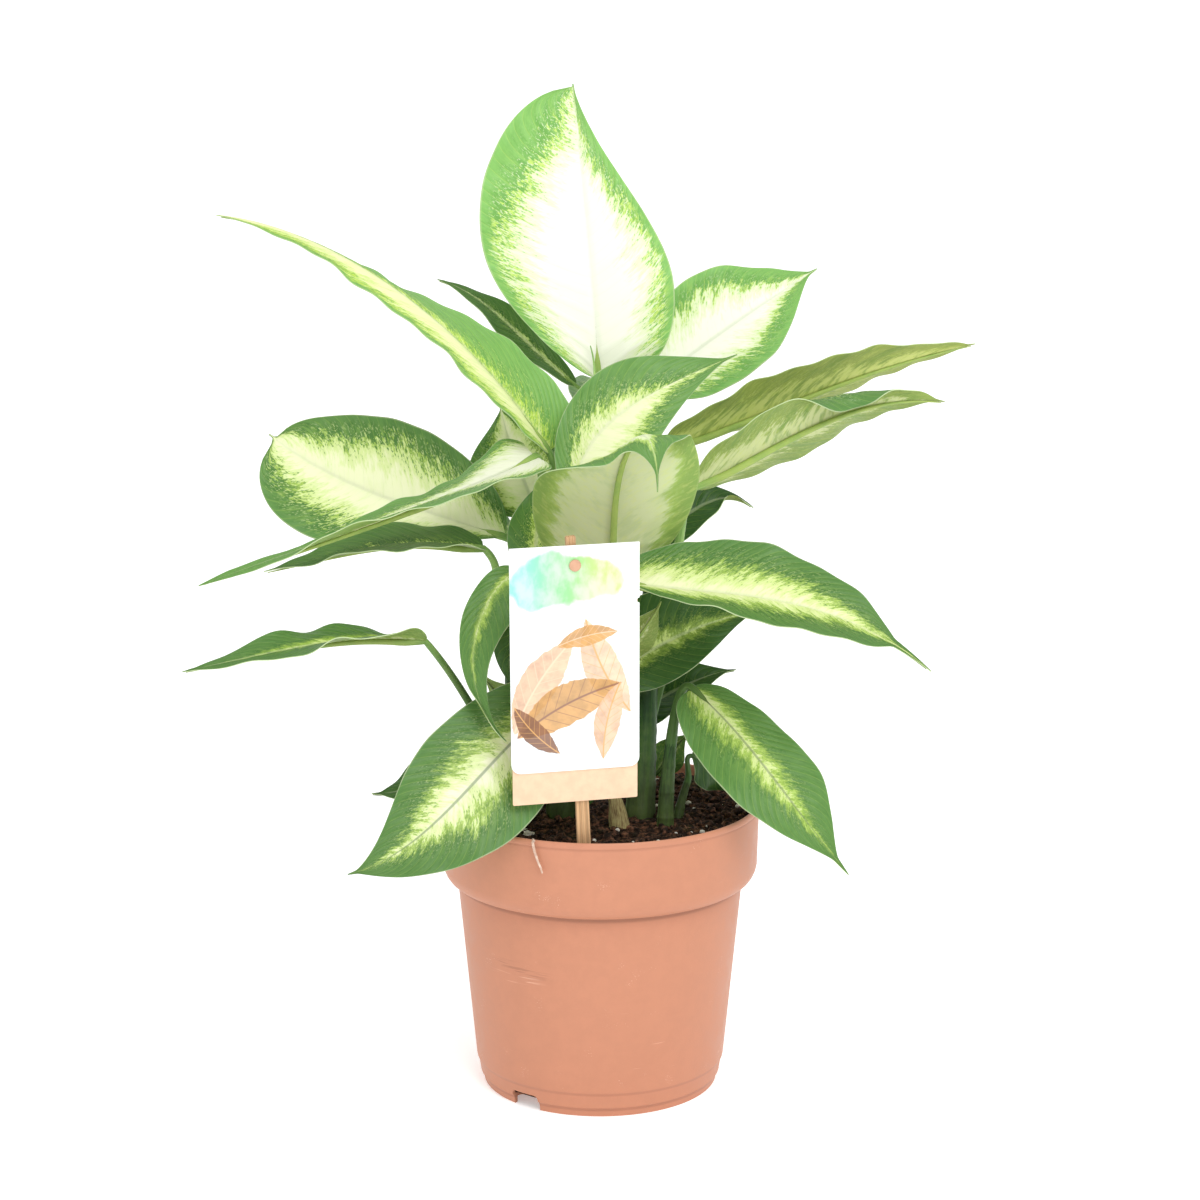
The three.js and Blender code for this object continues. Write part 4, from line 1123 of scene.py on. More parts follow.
def build_printed_leaf():
    """A drawn leaf in the plane of the place given: its shape, its shaded half and its veins."""
    net, given, out = group("Printed leaf", [
        ("At", VECTOR, None), ("X", FLOAT, 0.5), ("Y", FLOAT, 0.5), ("Long", FLOAT, 0.2),
        ("Wide", FLOAT, 0.1), ("Turn", FLOAT, 0.0),
    ], ("Mask", "Shade", "Veins"))
    x, y = net.local(given, "Long", "Wide")
    y = net.times_plus(net.times(x, x), 0.35, y)
    away = net.math("ABSOLUTE", y)
    wobble = net.minus(net.noise(given["At"], 30.0, 3.0), 0.5)
    full = net.minus(1.0, net.times(x, x))
    inside = net.minus(net.times_plus(wobble, 0.25, full), away)
    net.feed(out.inputs["Mask"], net.step(inside, 0.0, 0.06))
    grain = net.step(net.noise(given["At"], 18.0, 4.0, 0.6), 0.35, 0.7)
    half = net.math("GREATER_THAN", y, 0.0)
    net.feed(out.inputs["Shade"], net.times_plus(grain, 0.6, net.times(half, 0.3)))
    side = net.math("PINGPONG", net.times_plus(away, -0.35, x), 0.11)
    veins = net.most(net.step(away, 0.07, 0.02), net.times(net.step(side, 0.014, 0.004), 0.6))
    net.feed(out.inputs["Veins"], veins)


# ---------- finishes ----------

def leaf_materials(name, index, leaf, settings):
    """The upper and lower finish of one leaf."""
    tone_and_shade, gold, back = leaf["tone_and_shade"], leaf["gold"], leaf["back"]
    # The green is partly painted light and shade: a higher tone for the top leaves that light
    # shines through, a lower one for the inner leaves in shade.
    green = mixed(settings.dark, settings.light, tone_and_shade)
    lime = mixed(green, settings.lime, 0.45 + 0.55 * min(1, tone_and_shade * 1.3))
    lime = mixed(lime, settings.white, 0.12 * (1 - gold))
    centre = mixed(settings.white, settings.cream, gold)
    foot, middle, tip = leaf["reach"]
    feeds = {
        "Centre": centre, "Yellow": mixed(centre, settings.lime, 0.35 + 0.3 * gold), "Lime": lime,
        "Green": green, "Reach Foot": foot, "Reach Middle": middle, "Reach Tip": tip,
        "Feather": leaf["feather"], "Fleck": leaf["fleck"], "Gold": gold, "Soft": leaf["soft"],
        "Lean": leaf["lean"], "Veins": span(leaf["midrib"]) / settings.vein_step,
        "Rib": (0.75 if leaf["rib_dark"] else 1.1) / max(leaf["half"]), "Rib Tint": leaf["rib"],
        "Rib Color": RIB_DARK if leaf["rib_dark"] else RIB_PALE, "Seed": 3.7 * index,
    }
    made = []
    for side in ("upper", "lower"):
        lower = side == "lower"
        item, net, shader = material(f"leaf_{name}_{side}")
        pattern = net.use("Leaf variegation", feeds)
        tint = pattern["Color"]
        if lower:
            dull = mixed(green, settings.under, back)
            cream = mixed(UNDER_CREAM, UNDER_GOLD, max(0, 2 * back - 0.9))
            mottle = net.step(pattern["Mottle"], -0.02, 0.2, 0.0, 0.5 * leaf["fleck"])
            flecks = net.times(net.step(pattern["Fine"], 0.0, 0.16), 0.3)
            for factor, shade in (
                    (0.72, dull), (net.times(pattern["Cream"], 0.6), cream),
                    (mottle, mixed(green, dull, 0.3)), (flecks, UNDER_FLECK),
                    (net.times(pattern["Rib"], 0.5), UNDER_RIB)):
                tint = net.mix(factor, tint, shade)
        bumpy = net.times(pattern["Height"], net.blend(pattern["Cream"], 1.0, 0.35))
        normal = net.bump(bumpy, 0.0005, 0.35 if lower else 0.45)
        roughness = net.step(pattern["Height"], 0.0, 1.2, 0.46, 0.34)
        finish(net, shader, tint, roughness, normal, 0.2 if lower else 0.3)
        feeds_through = {"Color": tint, "Normal": normal}
        through = net.add("ShaderNodeBsdfTranslucent", feeds_through).outputs[0]
        both = net.add("ShaderNodeMixShader", {0: settings.glow, 1: shader.outputs[0], 2: through})
        target = net.tree.nodes["Material Output"]
        net.tree.links.new(both.outputs[0], target.inputs["Surface"])
        made.append(item)
    return made


def petiole_material(settings):
    """Leaf stalks and midribs: pale green, streaked along, darker low down and paler as midribs."""
    item, net, shader = material("petiole")
    lines = net.stretched((26.0, 5.0), 3.0)
    grain = net.use("Speckle", {"Scale": 900.0, "Amount": 0.8, "Seed": 1.0})
    _, v, _ = net.parts(net.uv())
    _, _, z = net.parts(net.place())
    tint = net.mix(net.step(lines, 0.35, 0.7), settings.petiole, (0.28, 0.43, 0.13))
    tint = net.mix(net.step(v, 0.46, 0.52, 0.0, 0.85), tint, (0.33, 0.42, 0.10))
    tint = net.mix(net.step(grain["Mottle"], 0.4, 0.7, 0.0, 0.35), tint, (0.10, 0.26, 0.06))
    tint = net.mix(net.times(grain["Dots"], 0.4), tint, (0.10, 0.24, 0.06))
    tint = net.mix(net.step(z, 0.29, 0.19, 0.0, 0.8), tint, (0.03, 0.08, 0.02))
    finish(net, shader, tint, net.step(lines, 0.2, 0.8, 0.46, 0.34),
           net.bump(lines, 0.0004, 0.4), 0.22)
    return item


def rim_material():
    """The thin cut edge of a blade: pale and almost clear."""
    item, net, shader = material("leaf_margin")
    fade = net.noise(net.place(), 60.0, 2.0)
    finish(net, shader, net.mix(fade, (0.34, 0.46, 0.20), (0.50, 0.60, 0.34)),
           net.step(fade, 0.2, 0.8, 0.5, 0.4))
    return item


def cane_material():
    """Canes and the sheaths round them: dark green, streaked, with a paler seam."""
    item, net, shader = material("cane")
    lines = net.stretched((22.0, 6.0), 3.0)
    grain = net.use("Speckle", {"Scale": 700.0, "Amount": 0.7, "Seed": 5.0})
    u, v, _ = net.parts(net.uv())
    _, _, z = net.parts(net.place())
    tint = net.mix(net.step(lines, 0.3, 0.7), (0.014, 0.045, 0.012), (0.04, 0.10, 0.024))
    tint = net.mix(net.step(grain["Mottle"], 0.45, 0.75, 0.0, 0.55), tint, (0.09, 0.15, 0.04))
    tint = net.mix(net.times(net.step(z, 0.200, 0.150), 0.4), tint, (0.07, 0.065, 0.02))
    # The seam where a sheath's edge winds up the cane.
    wind = net.times_plus(net.math("SINE", net.times(v, 7.0)), 0.14, 0.5)
    seam = net.math("ABSOLUTE", net.minus(net.math("FRACT", net.times(u, 2.0)), wind))
    tint = net.mix(net.times(net.step(seam, 0.03, 0.008), 0.7), tint, (0.20, 0.32, 0.12))
    finish(net, shader, tint, net.step(lines, 0.2, 0.8, 0.52, 0.38),
           net.bump(net.plus(lines, grain["Height"]), 0.0005, 0.4), 0.2)
    return item


def dry_material():
    """Dried sheath: papery and fibrous."""
    item, net, shader = material("dried_sheath")
    lines = net.stretched((34.0, 4.0), 4.0, 0.65)
    tint = net.mix(net.step(lines, 0.3, 0.7), (0.14, 0.085, 0.035), (0.42, 0.36, 0.15))
    finish(net, shader, tint, net.step(lines, 0.2, 0.8, 0.9, 0.65), net.bump(lines, 0.0005, 0.7))
    return item


def spear_material():
    """The rolled young leaf: light green with a darker end."""
    item, net, shader = material("young_leaf")
    lines = net.stretched((14.0, 7.0), 3.0)
    _, v, _ = net.parts(net.uv())
    tint = net.mix(net.step(lines, 0.35, 0.7), (0.30, 0.55, 0.12), (0.62, 0.78, 0.34))
    tint = net.mix(net.step(v, 0.55, 0.95, 0.0, 0.8), tint, (0.10, 0.24, 0.05))
    finish(net, shader, tint, net.step(lines, 0.2, 0.8, 0.48, 0.36), net.bump(lines, 0.0003, 0.4))
    return item


def pot_material(settings):
    """Moulded terracotta-coloured plastic: a faint mottle, rub marks, scratches and pale specks,
    with painted shade in the grooves at its steps.
    """
    item, net, shader = material("pot_plastic")
    x, y, z = net.parts(net.place())
    grain = net.use("Speckle", {"Scale": 1100.0, "Amount": 0.3, "Seed": 2.0})
    body, scuff_and_shade, dark = tuple(settings.body), tuple(settings.scuff_and_shade), shaded(settings.body, 0.86)
    tint = net.mix(net.step(grain["Mottle"], 0.3, 0.7, 0.0, 0.4), body, dark)
    tint = net.mix(net.step(net.stretched((9.0, 9.0, 4.0), 3.0), 0.4, 0.7, 0.0, 0.3), tint, dark)
    front = net.math("LESS_THAN", y, 0.0)
    hair = net.stretched((40.0, 40.0, 900.0), 2.0)
    # Rub marks on the front: their place and half sizes in metres, their turn and their colour.
    for across, up, wide, high, turn, threshold, shade in (
            (-0.040, 0.0795, 0.0125, 0.0030, -0.12, 0.50, scuff_and_shade),
            (-0.043, 0.0735, 0.0110, 0.0035, -0.05, 0.55, POT_SCRATCH)):
        feeds = {"At": net.vector(x, z), "X": across, "Y": up, "Wide": wide, "High": high,
                 "Turn": turn, "Soft": 0.6, "Ragged": 1.0, "Grain": 200.0}
        rubbed = net.times(net.use("Soft oval", feeds)["Mask"], front,
                           net.step(hair, threshold, threshold + 0.08), 0.5)
        tint = net.mix(rubbed, tint, shade)
    where = net.noise(net.place(), 22.0, 2.0)
    scratch = net.times(net.step(hair, 0.70, 0.76), net.step(where, 0.58, 0.66))
    tint = net.mix(net.times(scratch, 0.5), tint, POT_SCRATCH)
    tint = net.mix(net.times(grain["Dots"], 0.75), tint, POT_SPECK)
    # Painted shade: dark lines in the grooves at the pot's steps, in the colour of the rub marks.
    lines = [net.times(net.step(z, low * MM, full_low * MM), net.step(z, high * MM, full_high * MM),
                       amount) for amount, low, full_low, full_high, high in POT_SHADE_LINES]
    tint = net.mix(net.most(*lines), tint, scuff_and_shade)
    height = net.plus(grain["Height"], net.times(scratch, 1.5))
    finish(net, shader, tint, net.step(grain["Mottle"], 0.3, 0.7, 0.5, 0.4),
           net.bump(height, 0.0002, 0.25), 0.25)
    return item


def mix_materials(settings):
    """Moist peat, its crumbs, the white perlite, the fibres and the root."""
    made = []
    peat, bright = tuple(settings.peat), (0.20, 0.09, 0.05)
    algae, wet = (0.045, 0.047, 0.014), (0.012, 0.007, 0.005)
    for name, low, high, shine in (
            ("peat", peat, bright, 0.08), ("peat_crumb", peat, bright, 0.15),
            ("perlite", (0.62, 0.58, 0.50), (0.88, 0.87, 0.83), 0.3),
            ("peat_fibre", peat, tuple(settings.fibre), 0.4),
            ("root", (0.60, 0.42, 0.32), (0.88, 0.74, 0.62), 0.4)):
        item, net, shader = material(name)
        lumps = net.noise(net.place(), 330.0, 3.0, 0.6)
        fine = net.noise(net.place(), 1500.0, 3.0, 0.6)
        tint = net.mix(net.step(lumps, 0.42, 0.78), low, high)
        if high == bright:
            broad = net.noise(net.place(), 40.0, 3.0)
            tint = net.mix(net.step(broad, 0.55, 0.75, 0.0, 0.6), tint, algae)
            tint = net.mix(net.step(broad, 0.45, 0.3, 0.0, 0.6), tint, wet)
        finish(net, shader, tint, net.step(lumps, 0.3, 0.7, 0.95, 0.7),
               net.bump(net.plus(lumps, fine), 0.0009, 0.8), shine)
        made.append(item)
    return made


def print_material(settings):
    """The printed card: white, a wash of aqua to lime at the top and warm shapes below it."""
    item, net, shader = material("label_print")
    at = net.uv()
    u, v, _ = net.parts(at)

    def oval(*shape):
        feeds = dict(zip(("X", "Y", "Wide", "High", "Turn", "Soft", "Ragged", "Grain"), shape))
        return net.use("Soft oval", {"At": at, **feeds})["Mask"]

    paper = net.step(net.noise(at, 3.0, 2.0), 0.35, 0.7)
    tint = net.mix(paper, (0.84, 0.88, 0.90), (0.90, 0.92, 0.90))
    smear = net.times(oval(0.5, 0.16, 0.5, 0.14, 0.1, 0.5, 1.2, 6.0), 0.5)
    tint = net.mix(smear, tint, (0.62, 0.74, 0.80))
    page = net.vector(net.times(u, CARD_SHAPE), v)
    for x, y, long, wide, turn, fill, line in PRINTED_LEAVES:
        shape = net.use("Printed leaf", {"At": page, "X": x, "Y": y, "Long": long, "Wide": wide,
                                         "Turn": turn})
        fill, line = tuple(getattr(settings, fill)), tuple(getattr(settings, line))
        drawn = net.mix(shape["Veins"], net.mix(shape["Shade"], fill, shaded(fill, 0.62)), line)
        tint = net.mix(net.times(shape["Mask"], 0.93), tint, drawn)
    wash = net.mix(net.step(u, 0.05, 0.42), tuple(settings.aqua), tuple(settings.green))
    wash = net.mix(net.step(u, 0.38, 0.78), wash, tuple(settings.lime))
    cloud = net.noise(at, 7.0, 4.0, 0.6)
    wash = net.mix(net.step(cloud, 0.35, 0.65, 0.0, 0.45), wash, (0.82, 0.95, 0.80))
    blot = net.most(oval(0.30, 0.85, 0.31, 0.12, 0.1, 0.1, 0.9, 5.0),
                    oval(0.60, 0.86, 0.27, 0.10, -0.1, 0.1, 0.9, 5.0))
    finish(net, shader, net.mix(blot, tint, wash),
           net.step(net.noise(at, 30.0, 2.0), 0.3, 0.7, 0.42, 0.34))
    return item


def card_material(name, light, dark):
    """Plain uncoated card."""
    item, net, shader = material(name)
    grain = net.use("Speckle", {"Scale": 1600.0, "Amount": 0.5, "Seed": 9.0})
    finish(net, shader, net.mix(net.step(grain["Mottle"], 0.3, 0.7), dark, light),
           net.step(grain["Mottle"], 0.3, 0.7, 0.85, 0.7), net.bump(grain["Height"], 0.0001, 0.3))
    return item


def wood_material(settings):
    """Raw wood: long fine lines, a little darker in places."""
    item, net, shader = material("stake_wood")
    lines = net.stretched((60.0, 5.0), 4.0, 0.6)
    cloud = net.noise(net.place(), 45.0, 3.0)
    dark, dim, light = (shaded(settings.wood, factor) for factor in (0.55, 0.7, 1.25))
    tint = net.mix(net.step(lines, 0.3, 0.7), dark, light)
    tint = net.mix(net.step(cloud, 0.45, 0.7, 0.0, 0.5), tint, dim)
    finish(net, shader, tint, net.step(lines, 0.2, 0.8, 0.85, 0.6), net.bump(lines, 0.0004, 0.5))
    return item


def floor_material(settings):
    """A plain pale floor that gives a little light of its own."""
    item, net, shader = material("floor")
    cloud = net.noise(net.place(), 3.0, 2.0)
    finish(net, shader, net.mix(cloud, shaded(settings.floor, 0.97), tuple(settings.floor)), 0.9)
    shader.inputs["Emission Color"].default_value = WHITE
    shader.inputs["Emission Strength"].default_value = settings.lift
    return item


# ---------- pot and potting mix ----------

class DIEFFENBACHIA_OT_pot(bpy.types.Operator):
    """Build the nursery pot, with its drain holes and notches"""

    bl_idname = "dieffenbachia.pot"
    bl_label = "Pot"

    def execute(self, context):
        pot = lathe("pot", POT_PROFILE)
        cutters = []
        for i in range(DRAIN_HOLES):
            angle = (i + 0.5) * TAU / DRAIN_HOLES
            place = (DRAIN_CIRCLE * math.cos(angle), DRAIN_CIRCLE * math.sin(angle), 0)
            cutters.append(cylinder(DRAIN_RADIUS, CUTTER_DEPTH, place, 32))
        for degrees in NOTCH_ANGLES:
            angle = math.radians(degrees)
            place = Vector((math.cos(angle), math.sin(angle), 0)) * NOTCH_CIRCLE * MM
            deselect()
            bpy.ops.mesh.primitive_cube_add(
                size=1, scale=(CUTTER_DEPTH * MM, NOTCH_WIDTH * MM, 2 * NOTCH_HEIGHT * MM),
                rotation=(0, 0, angle), location=place)
            notch = context.object
            bpy.ops.object.transform_apply(location=False, rotation=False, scale=True)
            apply_modifier(notch, "BEVEL", width=NOTCH_ROUND * MM, segments=4)
            cutters.append(notch)
        cut(pot, *cutters)
        merge(pot, 2e-6)
        smooth(pot, 32)
        dress(pot, pot_material(context.scene.dieffenbachia.pot))
        settle(pot, "pot_plastic", "pot")
        return {"FINISHED"}


def in_headspace(x, y):
    """Whether a place lies where the mix is kept level."""
    (x0, x1), (y0, y1) = HEADSPACE
    return x0 < x < x1 and y0 < y < y1


def mix_height(x, y):
    """The height of the potting mix at a place, in millimetres."""
    rise = (MIX_CROWN - MIX_TOP) * (1 - (x * x + y * y) / MIX_SPREAD ** 2)
    rough = 1.5 * noise.fractal(Vector((x / 9, y / 9, 3.1)), 0.7, 2.1, 3)
    rough += 0.8 * noise.noise(Vector((x / 2.2, y / 2.2, 7.7)))
    at_x, at_y, wide, high = MIX_MOUND
    mound = high * math.exp(-((x - at_x) ** 2 + (y - at_y) ** 2) / wide ** 2)
    return MIX_TOP + rise + mound + (min(rough, 0) if in_headspace(x, y) else rough)


def spots(rng, count, low, high, flat):
    """Places, sizes and turns for lumps that lie on the potting mix."""
    made = []
    while len(made) < count:
        radius, angle = CRUMB_RADIUS * math.sqrt(rng.random()), TAU * rng.random()
        x, y = radius * math.cos(angle), radius * math.sin(angle)
        size = low + (high - low) * rng.random() ** 2.4
        if in_headspace(x, y):
            size = min(size, HEADSPACE_LUMP)
        turn = np.array(Matrix.Rotation(TAU * rng.random(), 3, "Z")
                        @ Matrix.Rotation(0.8 * (rng.random() - 0.5), 3, "X"))
        shape = size * (0.7 + 0.6 * rng.random(3)) * np.array([1.25, 0.9, flat])
        made.append((np.array([x, y, mix_height(x, y) + 0.25 * size * flat]), shape, turn))
    return made


def mix_body():
    """The body of the potting mix, with its uneven top."""
    top = [(r, MIX_TOP) for r in np.linspace(*MIX_RINGS)]
    body = lathe("mix_body", (*MIX_PROFILE, *top), 192)
    level = MIX_TOP - 0.3  # the edge stays here, and the top rises from it
    for vertex in body.data.vertices:
        x, y, z = vertex.co / MM
        if z > MIX_TOP - 0.5:
            hold = float(ease(math.hypot(x, y), *MIX_EDGE))
            vertex.co.z = (level + (mix_height(x, y) - level) * hold) * MM
    smooth(body, 60)
    return body


def fibre(rng, place):
    """One bent fibre that lies on the mix and lifts off it in the middle."""
    angle, size = TAU * rng.random(), 5 + 9 * rng.random()
    t = np.linspace(-0.5, 0.5, 6)
    bend, lift = 0.5 * (rng.random() - 0.5), 1.4 * rng.random()
    along_it, off_it = size * t, size * bend * t * t
    x = place[0] + along_it * math.cos(angle) - off_it * math.sin(angle)
    y = place[1] + along_it * math.sin(angle) + off_it * math.cos(angle)
    inward = np.minimum(1, FIBRE_RADIUS / np.maximum(np.hypot(x, y), 1e-6))
    x, y = x * inward, y * inward
    z = np.array([mix_height(a, b) + 0.25 for a, b in zip(x, y)]) + lift * np.cos(np.pi * t)
    return strand("fibre", np.stack([x, y, z], axis=1), 0.16 + 0.22 * rng.random(), 4)


class DIEFFENBACHIA_OT_potting_mix(bpy.types.Operator):
    """Build the potting mix, with its crumbs, fibres, perlite and a root over the rim"""

    bl_idname = "dieffenbachia.potting_mix"
    bl_label = "Potting mix"

    def execute(self, context):
        settings = context.scene.dieffenbachia.mix
        rng = np.random.default_rng(41)
        body = mix_body()
        crumbs = scatter("crumbs", spots(rng, settings.crumbs, *CRUMBS))
        grains = spots(rng, settings.grains, *GRAINS)
        for x, y, size in PERLITE:
            place = np.array([x, y, mix_height(x, y) + 0.4 * size])
            grains.append((place, size * np.array([1.1, 0.9, 0.8]), np.eye(3)))
        grains = scatter("grains", grains)
        fibres = [fibre(rng, place) for place, _, _ in spots(rng, settings.fibres, *FIBRES)]
        root = strand("root", np.array(ROOT), ROOT_RADIUS, 8)
        materials = mix_materials(settings)
        for index, pieces in enumerate(((body,), (crumbs,), (grains,), fibres, (root,))):
            for piece in pieces:
                dress(piece, *materials)
                paint(piece, index)
        settle(join("potting_mix", body, crumbs, grains, root, *fibres), "peat", "potting_mix")
        return {"FINISHED"}


# ---------- shoots and leaves ----------

class DIEFFENBACHIA_OT_shoots(bpy.types.Operator):
    """Build the canes, the rolled tip of the next leaf and the dry sheath"""

    bl_idname = "dieffenbachia.shoots"
    bl_label = "Shoots"

    def execute(self, context):
        cane = cane_material()
        for name, shoot in SHOOTS.items():
            t = np.linspace(0, 1, 60)
            path = spread(shoot["axis"], t)
            scars = np.exp(-((path[:, 2] - MIX_TOP) % SCAR_STEP - 6) ** 2 / 1.1)
            radius = between(shoot["radius"], t) * (1 + SCAR_RISE * scars)
            sunk = [path[:1] - [0, 0, depth] for depth in CANE_SUNK]
            path = np.concatenate([*sunk, path])
            radius = np.concatenate([radius[:1], radius[:1], radius])
            piece = tube(f"shoot_{name}", path, *straight_frames(path), radius, radius, 24)
            smooth(piece, 50)
            dress(piece, cane)
            settle(piece, "cane", f"shoot_{name}")
        self.spear()
        self.dry_sheath()
        return {"FINISHED"}

    @staticmethod
    def spear():
        """The rolled tip of the next leaf, with the edge of the roll winding up it."""
        def roll(angle, y):
            edge = 1 - 0.16 * np.exp(-(np.sin((angle - 5 * y) / 2) / 0.12) ** 2)
            return edge, edge

        t = np.linspace(0, 1, 24)
        path = spread(SPEAR["axis"], t)
        radius = between(SPEAR["radius"], t ** 0.8)
        frames = straight_frames(path)
        spear = tube("new_leaf_spear", path, *frames, radius, radius, 20, shape=roll)
        smooth(spear, 60)
        dress(spear, spear_material())
        settle(spear, "young_leaf", "new_leaf_spear")

    @staticmethod
    def dry_sheath():
        """The curled dry sheath at the foot of the right shoot."""
        def place(x, y):
            height = (23 - 5 * x * x + 1.3 * np.sin(8 * x + 0.6) + 0.7 * np.sin(19 * x)) * y
            point = spread(STUB["axis"], height / 21)
            ruffle = 1 + 0.06 * np.sin(6 * x) + 0.05 * np.sin(9 * y + 4 * x)
            radius = between(STUB["radius"], y) * ruffle
            angle = 2.5 * x - 1.2 + 0.5 * y
            across = np.stack([np.cos(angle), np.sin(angle), 0 * angle], axis=1)
            return point + across * radius[:, None] - np.array([0, 0, 2.5]), ((x + 1) / 2, y)

        stub = sheet("dry_sheath_stub", 34, 24, place)
        apply_modifier(stub, "SOLIDIFY", thickness=STUB_THICKNESS * MM, offset=0.0)
        merge(stub)
        smooth(stub, 50)
        dress(stub, dry_material())
        settle(stub, "dried_sheath", "dry_sheath_stub")


def build_leaf(name, leaf, thickness, materials):
    """One leaf: a thin closed blade with its stalk and midrib."""
    rows = int(max(40, span(leaf["midrib"]) / GRID_ROW))
    columns = 2 * int(max(9, sum(leaf["half"]) / 2 / GRID_COLUMN))
    blade = sheet(f"blade_{name}", columns, rows, lambda x, y: blade_place(leaf, x, y))
    dress(blade, *materials)
    apply_modifier(blade, "SOLIDIFY", thickness=thickness * MM, offset=0.0,
                   material_offset=1, material_offset_rim=2, use_rim=True)
    *rings, groove = stalk_path(leaf)
    stalk = tube(f"stalk_{name}", *rings, groove=groove)
    dress(stalk, *materials)
    paint(stalk, len(materials) - 1)
    merge(blade, 2e-6, outward=False)
    piece = join(f"leaf_{name}", blade, stalk)
    smooth(piece, 50)
    return piece


class DIEFFENBACHIA_OT_leaves(bpy.types.Operator):
    """Build every leaf: its blade, and its stalk that runs on under the blade as the midrib"""

    bl_idname = "dieffenbachia.leaves"
    bl_label = "Leaves"

    def execute(self, context):
        settings = context.scene.dieffenbachia.leaf
        petiole, rim = petiole_material(settings), rim_material()
        for index, (name, own) in enumerate(LEAVES.items()):
            leaf = {**USUAL_LEAF, **own}
            sides = leaf_materials(name, index, leaf, settings)
            piece = build_leaf(name, leaf, settings.thickness, (*sides, rim, petiole))
            settle(piece, "leaf", f"leaf_{name}")
        return {"FINISHED"}


# ---------- label ----------

def label_frame(roll):
    """Where the label stands: its foot in the mix, its yaw, its lean and a turn in its plane."""
    matrix = Matrix.Translation(Vector(LABEL_FOOT) * MM)
    for degrees, axis in ((LABEL_YAW, "Z"), (LABEL_LEAN, "X"), (roll, "Y")):
        matrix = matrix @ Matrix.Rotation(math.radians(degrees), 4, axis)
    return matrix


def card(name, materials, width, height, top, front, thickness, corner):
    """A card with round lower corners, facing -Y; its other faces are on the second material."""
    deselect()
    bpy.ops.mesh.primitive_plane_add(
        size=1, rotation=FACING_FRONT,
        location=(CARD_X * MM, front * MM, (top - height / 2) * MM))
    piece = named(bpy.context.object, name)
    piece.scale = (width * MM, height * MM, 1)
    bpy.ops.object.transform_apply(location=True, rotation=True, scale=True)
    low = min(vertex.co.z for vertex in piece.data.vertices)
    bpy.ops.object.mode_set(mode="EDIT")
    bpy.ops.mesh.select_all(action="DESELECT")
    bpy.ops.object.mode_set(mode="OBJECT")
    for vertex in piece.data.vertices:
        vertex.select = vertex.co.z < low + 1e-4
    bpy.ops.object.mode_set(mode="EDIT")
    bpy.ops.mesh.bevel(offset=corner * MM, segments=10, affect="VERTICES")
    bpy.ops.object.mode_set(mode="OBJECT")
    dress(piece, *materials)
    apply_modifier(piece, "SOLIDIFY", thickness=thickness * MM, offset=-1.0,
                   material_offset=1, material_offset_rim=1)
    return piece


def finish_card(piece, slot, node):
    """Round the edges of a card, put it in its place and tie it to the frame."""
    apply_modifier(piece, "BEVEL", width=CARD_ROUND * MM, segments=2, limit_method="ANGLE")
    merge(piece, 2e-6)
    smooth(piece, 35)
    piece.matrix_world = label_frame(CARD_ROLL)
    settle(piece, slot, node)


class DIEFFENBACHIA_OT_label(bpy.types.Operator):
    """Build the label: its stake, its two cards and its pin"""

    bl_idname = "dieffenbachia.label"
    bl_label = "Label"

    def execute(self, context):
        settings = context.scene.dieffenbachia.label
        self.stake(settings)
        plain = card_material("tan_card", tuple(settings.tan), shaded(settings.tan, 0.9))
        backing = card("label_backing_card", (plain, plain), **BACKING_CARD)
        finish_card(backing, "tan_card", "label_backing_card")
        stock = card_material("card_stock", (0.86, 0.87, 0.85), (0.78, 0.79, 0.77))
        front = card("label_front_card", (print_material(settings), stock), **FRONT_CARD)
        cut(front, cylinder(NICK_RADIUS, CARD_CUTTER, NICK_PLACE, 24, FACING_FRONT))
        finish_card(front, "printed_card", "label_front_card")
        self.pin()
        return {"FINISHED"}

    @staticmethod
    def stake(settings):
        """The wooden stake, with two grooves along it."""
        def ridged(angle, y):
            box = (np.abs(np.cos(angle)) ** 9 + np.abs(np.sin(angle)) ** 9) ** (-1 / 9)
            x = np.cos(angle) * box
            return box, box * (1 - 0.26 * np.exp(-((np.abs(x) - 0.36) / 0.1) ** 2))

        heights = np.array(STAKE_RINGS)
        wide = np.interp(heights, *STAKE_WIDTHS)
        wide[[0, -1]] *= 0.85
        deep = np.full(len(heights), STAKE_HALF_DEPTH)
        deep[[0, -1]] *= 0.8
        path = np.stack([0 * heights, 0 * heights, heights], axis=1)
        right = np.tile([1.0, 0.0, 0.0], (len(path), 1))
        up = np.tile([0.0, -1.0, 0.0], (len(path), 1))
        stake = tube("label_stake", path, right, up, wide, deep, 96, shape=ridged)
        smooth(stake, 40)
        dress(stake, wood_material(settings))
        stake.matrix_world = label_frame(STAKE_ROLL)
        settle(stake, "stake_wood", "label_stake")

    @staticmethod
    def pin():
        """The round pin that holds the cards."""
        pin = cylinder(PIN_RADIUS, PIN_THICKNESS, PIN_PLACE, 48, FACING_FRONT)
        named(pin, "label_pin")
        bpy.ops.object.transform_apply(location=True, rotation=True, scale=True)
        apply_modifier(pin, "BEVEL", width=PIN_ROUND * MM, segments=4, limit_method="ANGLE")
        smooth(pin, 40)
        dress(pin, card_material("pin_plastic", (0.58, 0.33, 0.21), (0.50, 0.28, 0.18)))
        pin.matrix_world = label_frame(CARD_ROLL)
        settle(pin, "pin_plastic", "label_pin")


# ---------- stage and panel ----------

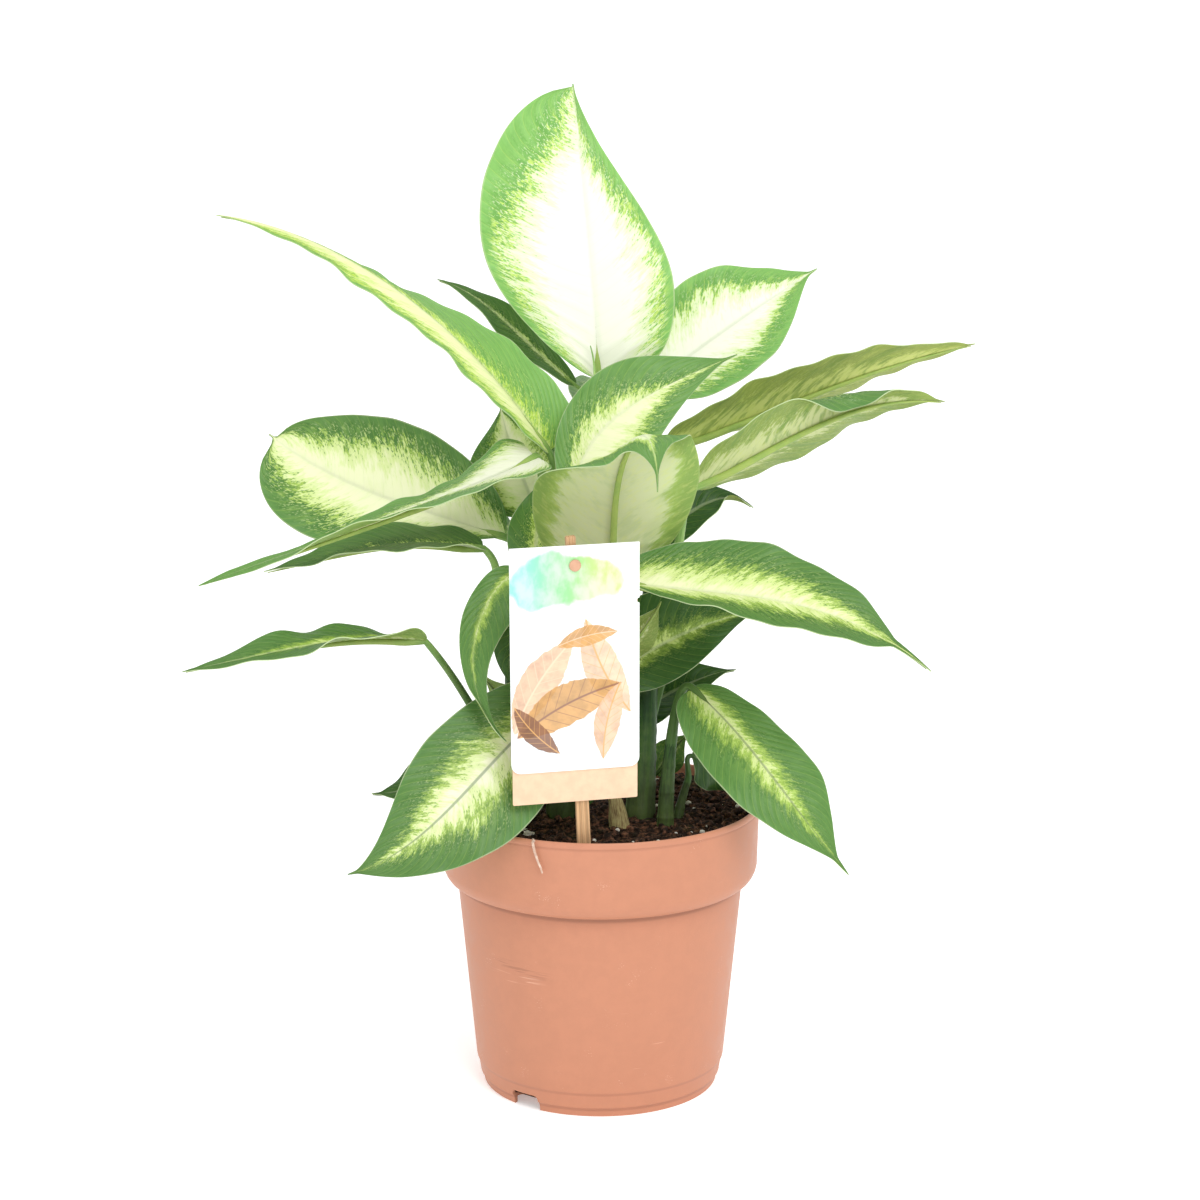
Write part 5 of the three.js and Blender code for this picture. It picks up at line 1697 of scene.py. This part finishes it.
class DIEFFENBACHIA_OT_stage(bpy.types.Operator):
    """Set the floor, the soft studio light and the camera"""

    bl_idname = "dieffenbachia.stage"
    bl_label = "Stage"

    def execute(self, context):
        settings = context.scene.dieffenbachia.stage
        deselect()
        bpy.ops.mesh.primitive_plane_add(size=FLOOR_SIZE, location=(0, 0, 0))
        floor = context.object
        floor.name = "floor"
        dress(floor, floor_material(settings))
        world = bpy.data.worlds.new("studio")
        world.use_nodes = True
        back = world.node_tree.nodes["Background"]
        back.inputs[0].default_value = WHITE
        back.inputs[1].default_value = settings.sky
        context.scene.world = world
        self.light("key", settings.key, KEY_SIZE, KEY_PLACE)
        self.light("fill", settings.fill, FILL_SIZE, FILL_PLACE)
        deselect()
        bpy.ops.object.camera_add(
            location=CAMERA_PLACE, rotation=(math.radians(90 - CAMERA_TILT), 0, 0))
        camera = context.object
        camera.name = "camera"
        camera.data.sensor_width = CAMERA_SENSOR
        camera.data.lens = CAMERA_LENS
        camera.data.dof.use_dof = False
        context.scene.camera = camera
        context.scene.view_settings.view_transform = "Standard"
        return {"FINISHED"}

    @staticmethod
    def light(name, energy, size, place):
        """Add a square soft light that looks at the plant."""
        deselect()
        turn = (Vector(LIGHT_TARGET) - Vector(place)).to_track_quat("-Z", "Y").to_euler()
        bpy.ops.object.light_add(type="AREA", location=place, rotation=turn)
        lamp = bpy.context.object
        lamp.name = name
        lamp.data.energy = energy
        lamp.data.size = size


class DIEFFENBACHIA_PT_panel(bpy.types.Panel):
    """Buttons that build the plant, piece by piece"""

    bl_idname = "DIEFFENBACHIA_PT_panel"
    bl_label = "Potted Dieffenbachia"
    bl_space_type = "VIEW_3D"
    bl_region_type = "UI"
    bl_category = "Dieffenbachia"

    def draw(self, context):
        for operator in OPERATORS:
            self.layout.operator(operator.bl_idname)


OPERATORS = (
    DIEFFENBACHIA_OT_stage,
    DIEFFENBACHIA_OT_pot,
    DIEFFENBACHIA_OT_potting_mix,
    DIEFFENBACHIA_OT_shoots,
    DIEFFENBACHIA_OT_leaves,
    DIEFFENBACHIA_OT_label,
)
SETTINGS = (PotSettings, MixSettings, LeafSettings, LabelSettings, StageSettings, PlantSettings)
CLASSES = (*SETTINGS, *OPERATORS, DIEFFENBACHIA_PT_panel)


def register():
    for item in CLASSES:
        bpy.utils.register_class(item)
    bpy.types.Scene.dieffenbachia = bpy.props.PointerProperty(type=PlantSettings)


def unregister():
    del bpy.types.Scene.dieffenbachia
    for item in reversed(CLASSES):
        bpy.utils.unregister_class(item)


def main():
    register()
    build_leaf_pattern()
    build_speckle()
    build_soft_oval()
    build_printed_leaf()
    bpy.ops.dieffenbachia.stage()
    bpy.ops.dieffenbachia.pot()
    bpy.ops.dieffenbachia.potting_mix()
    bpy.ops.dieffenbachia.shoots()
    bpy.ops.dieffenbachia.leaves()
    bpy.ops.dieffenbachia.label()


if __name__ == "__main__":
    main()
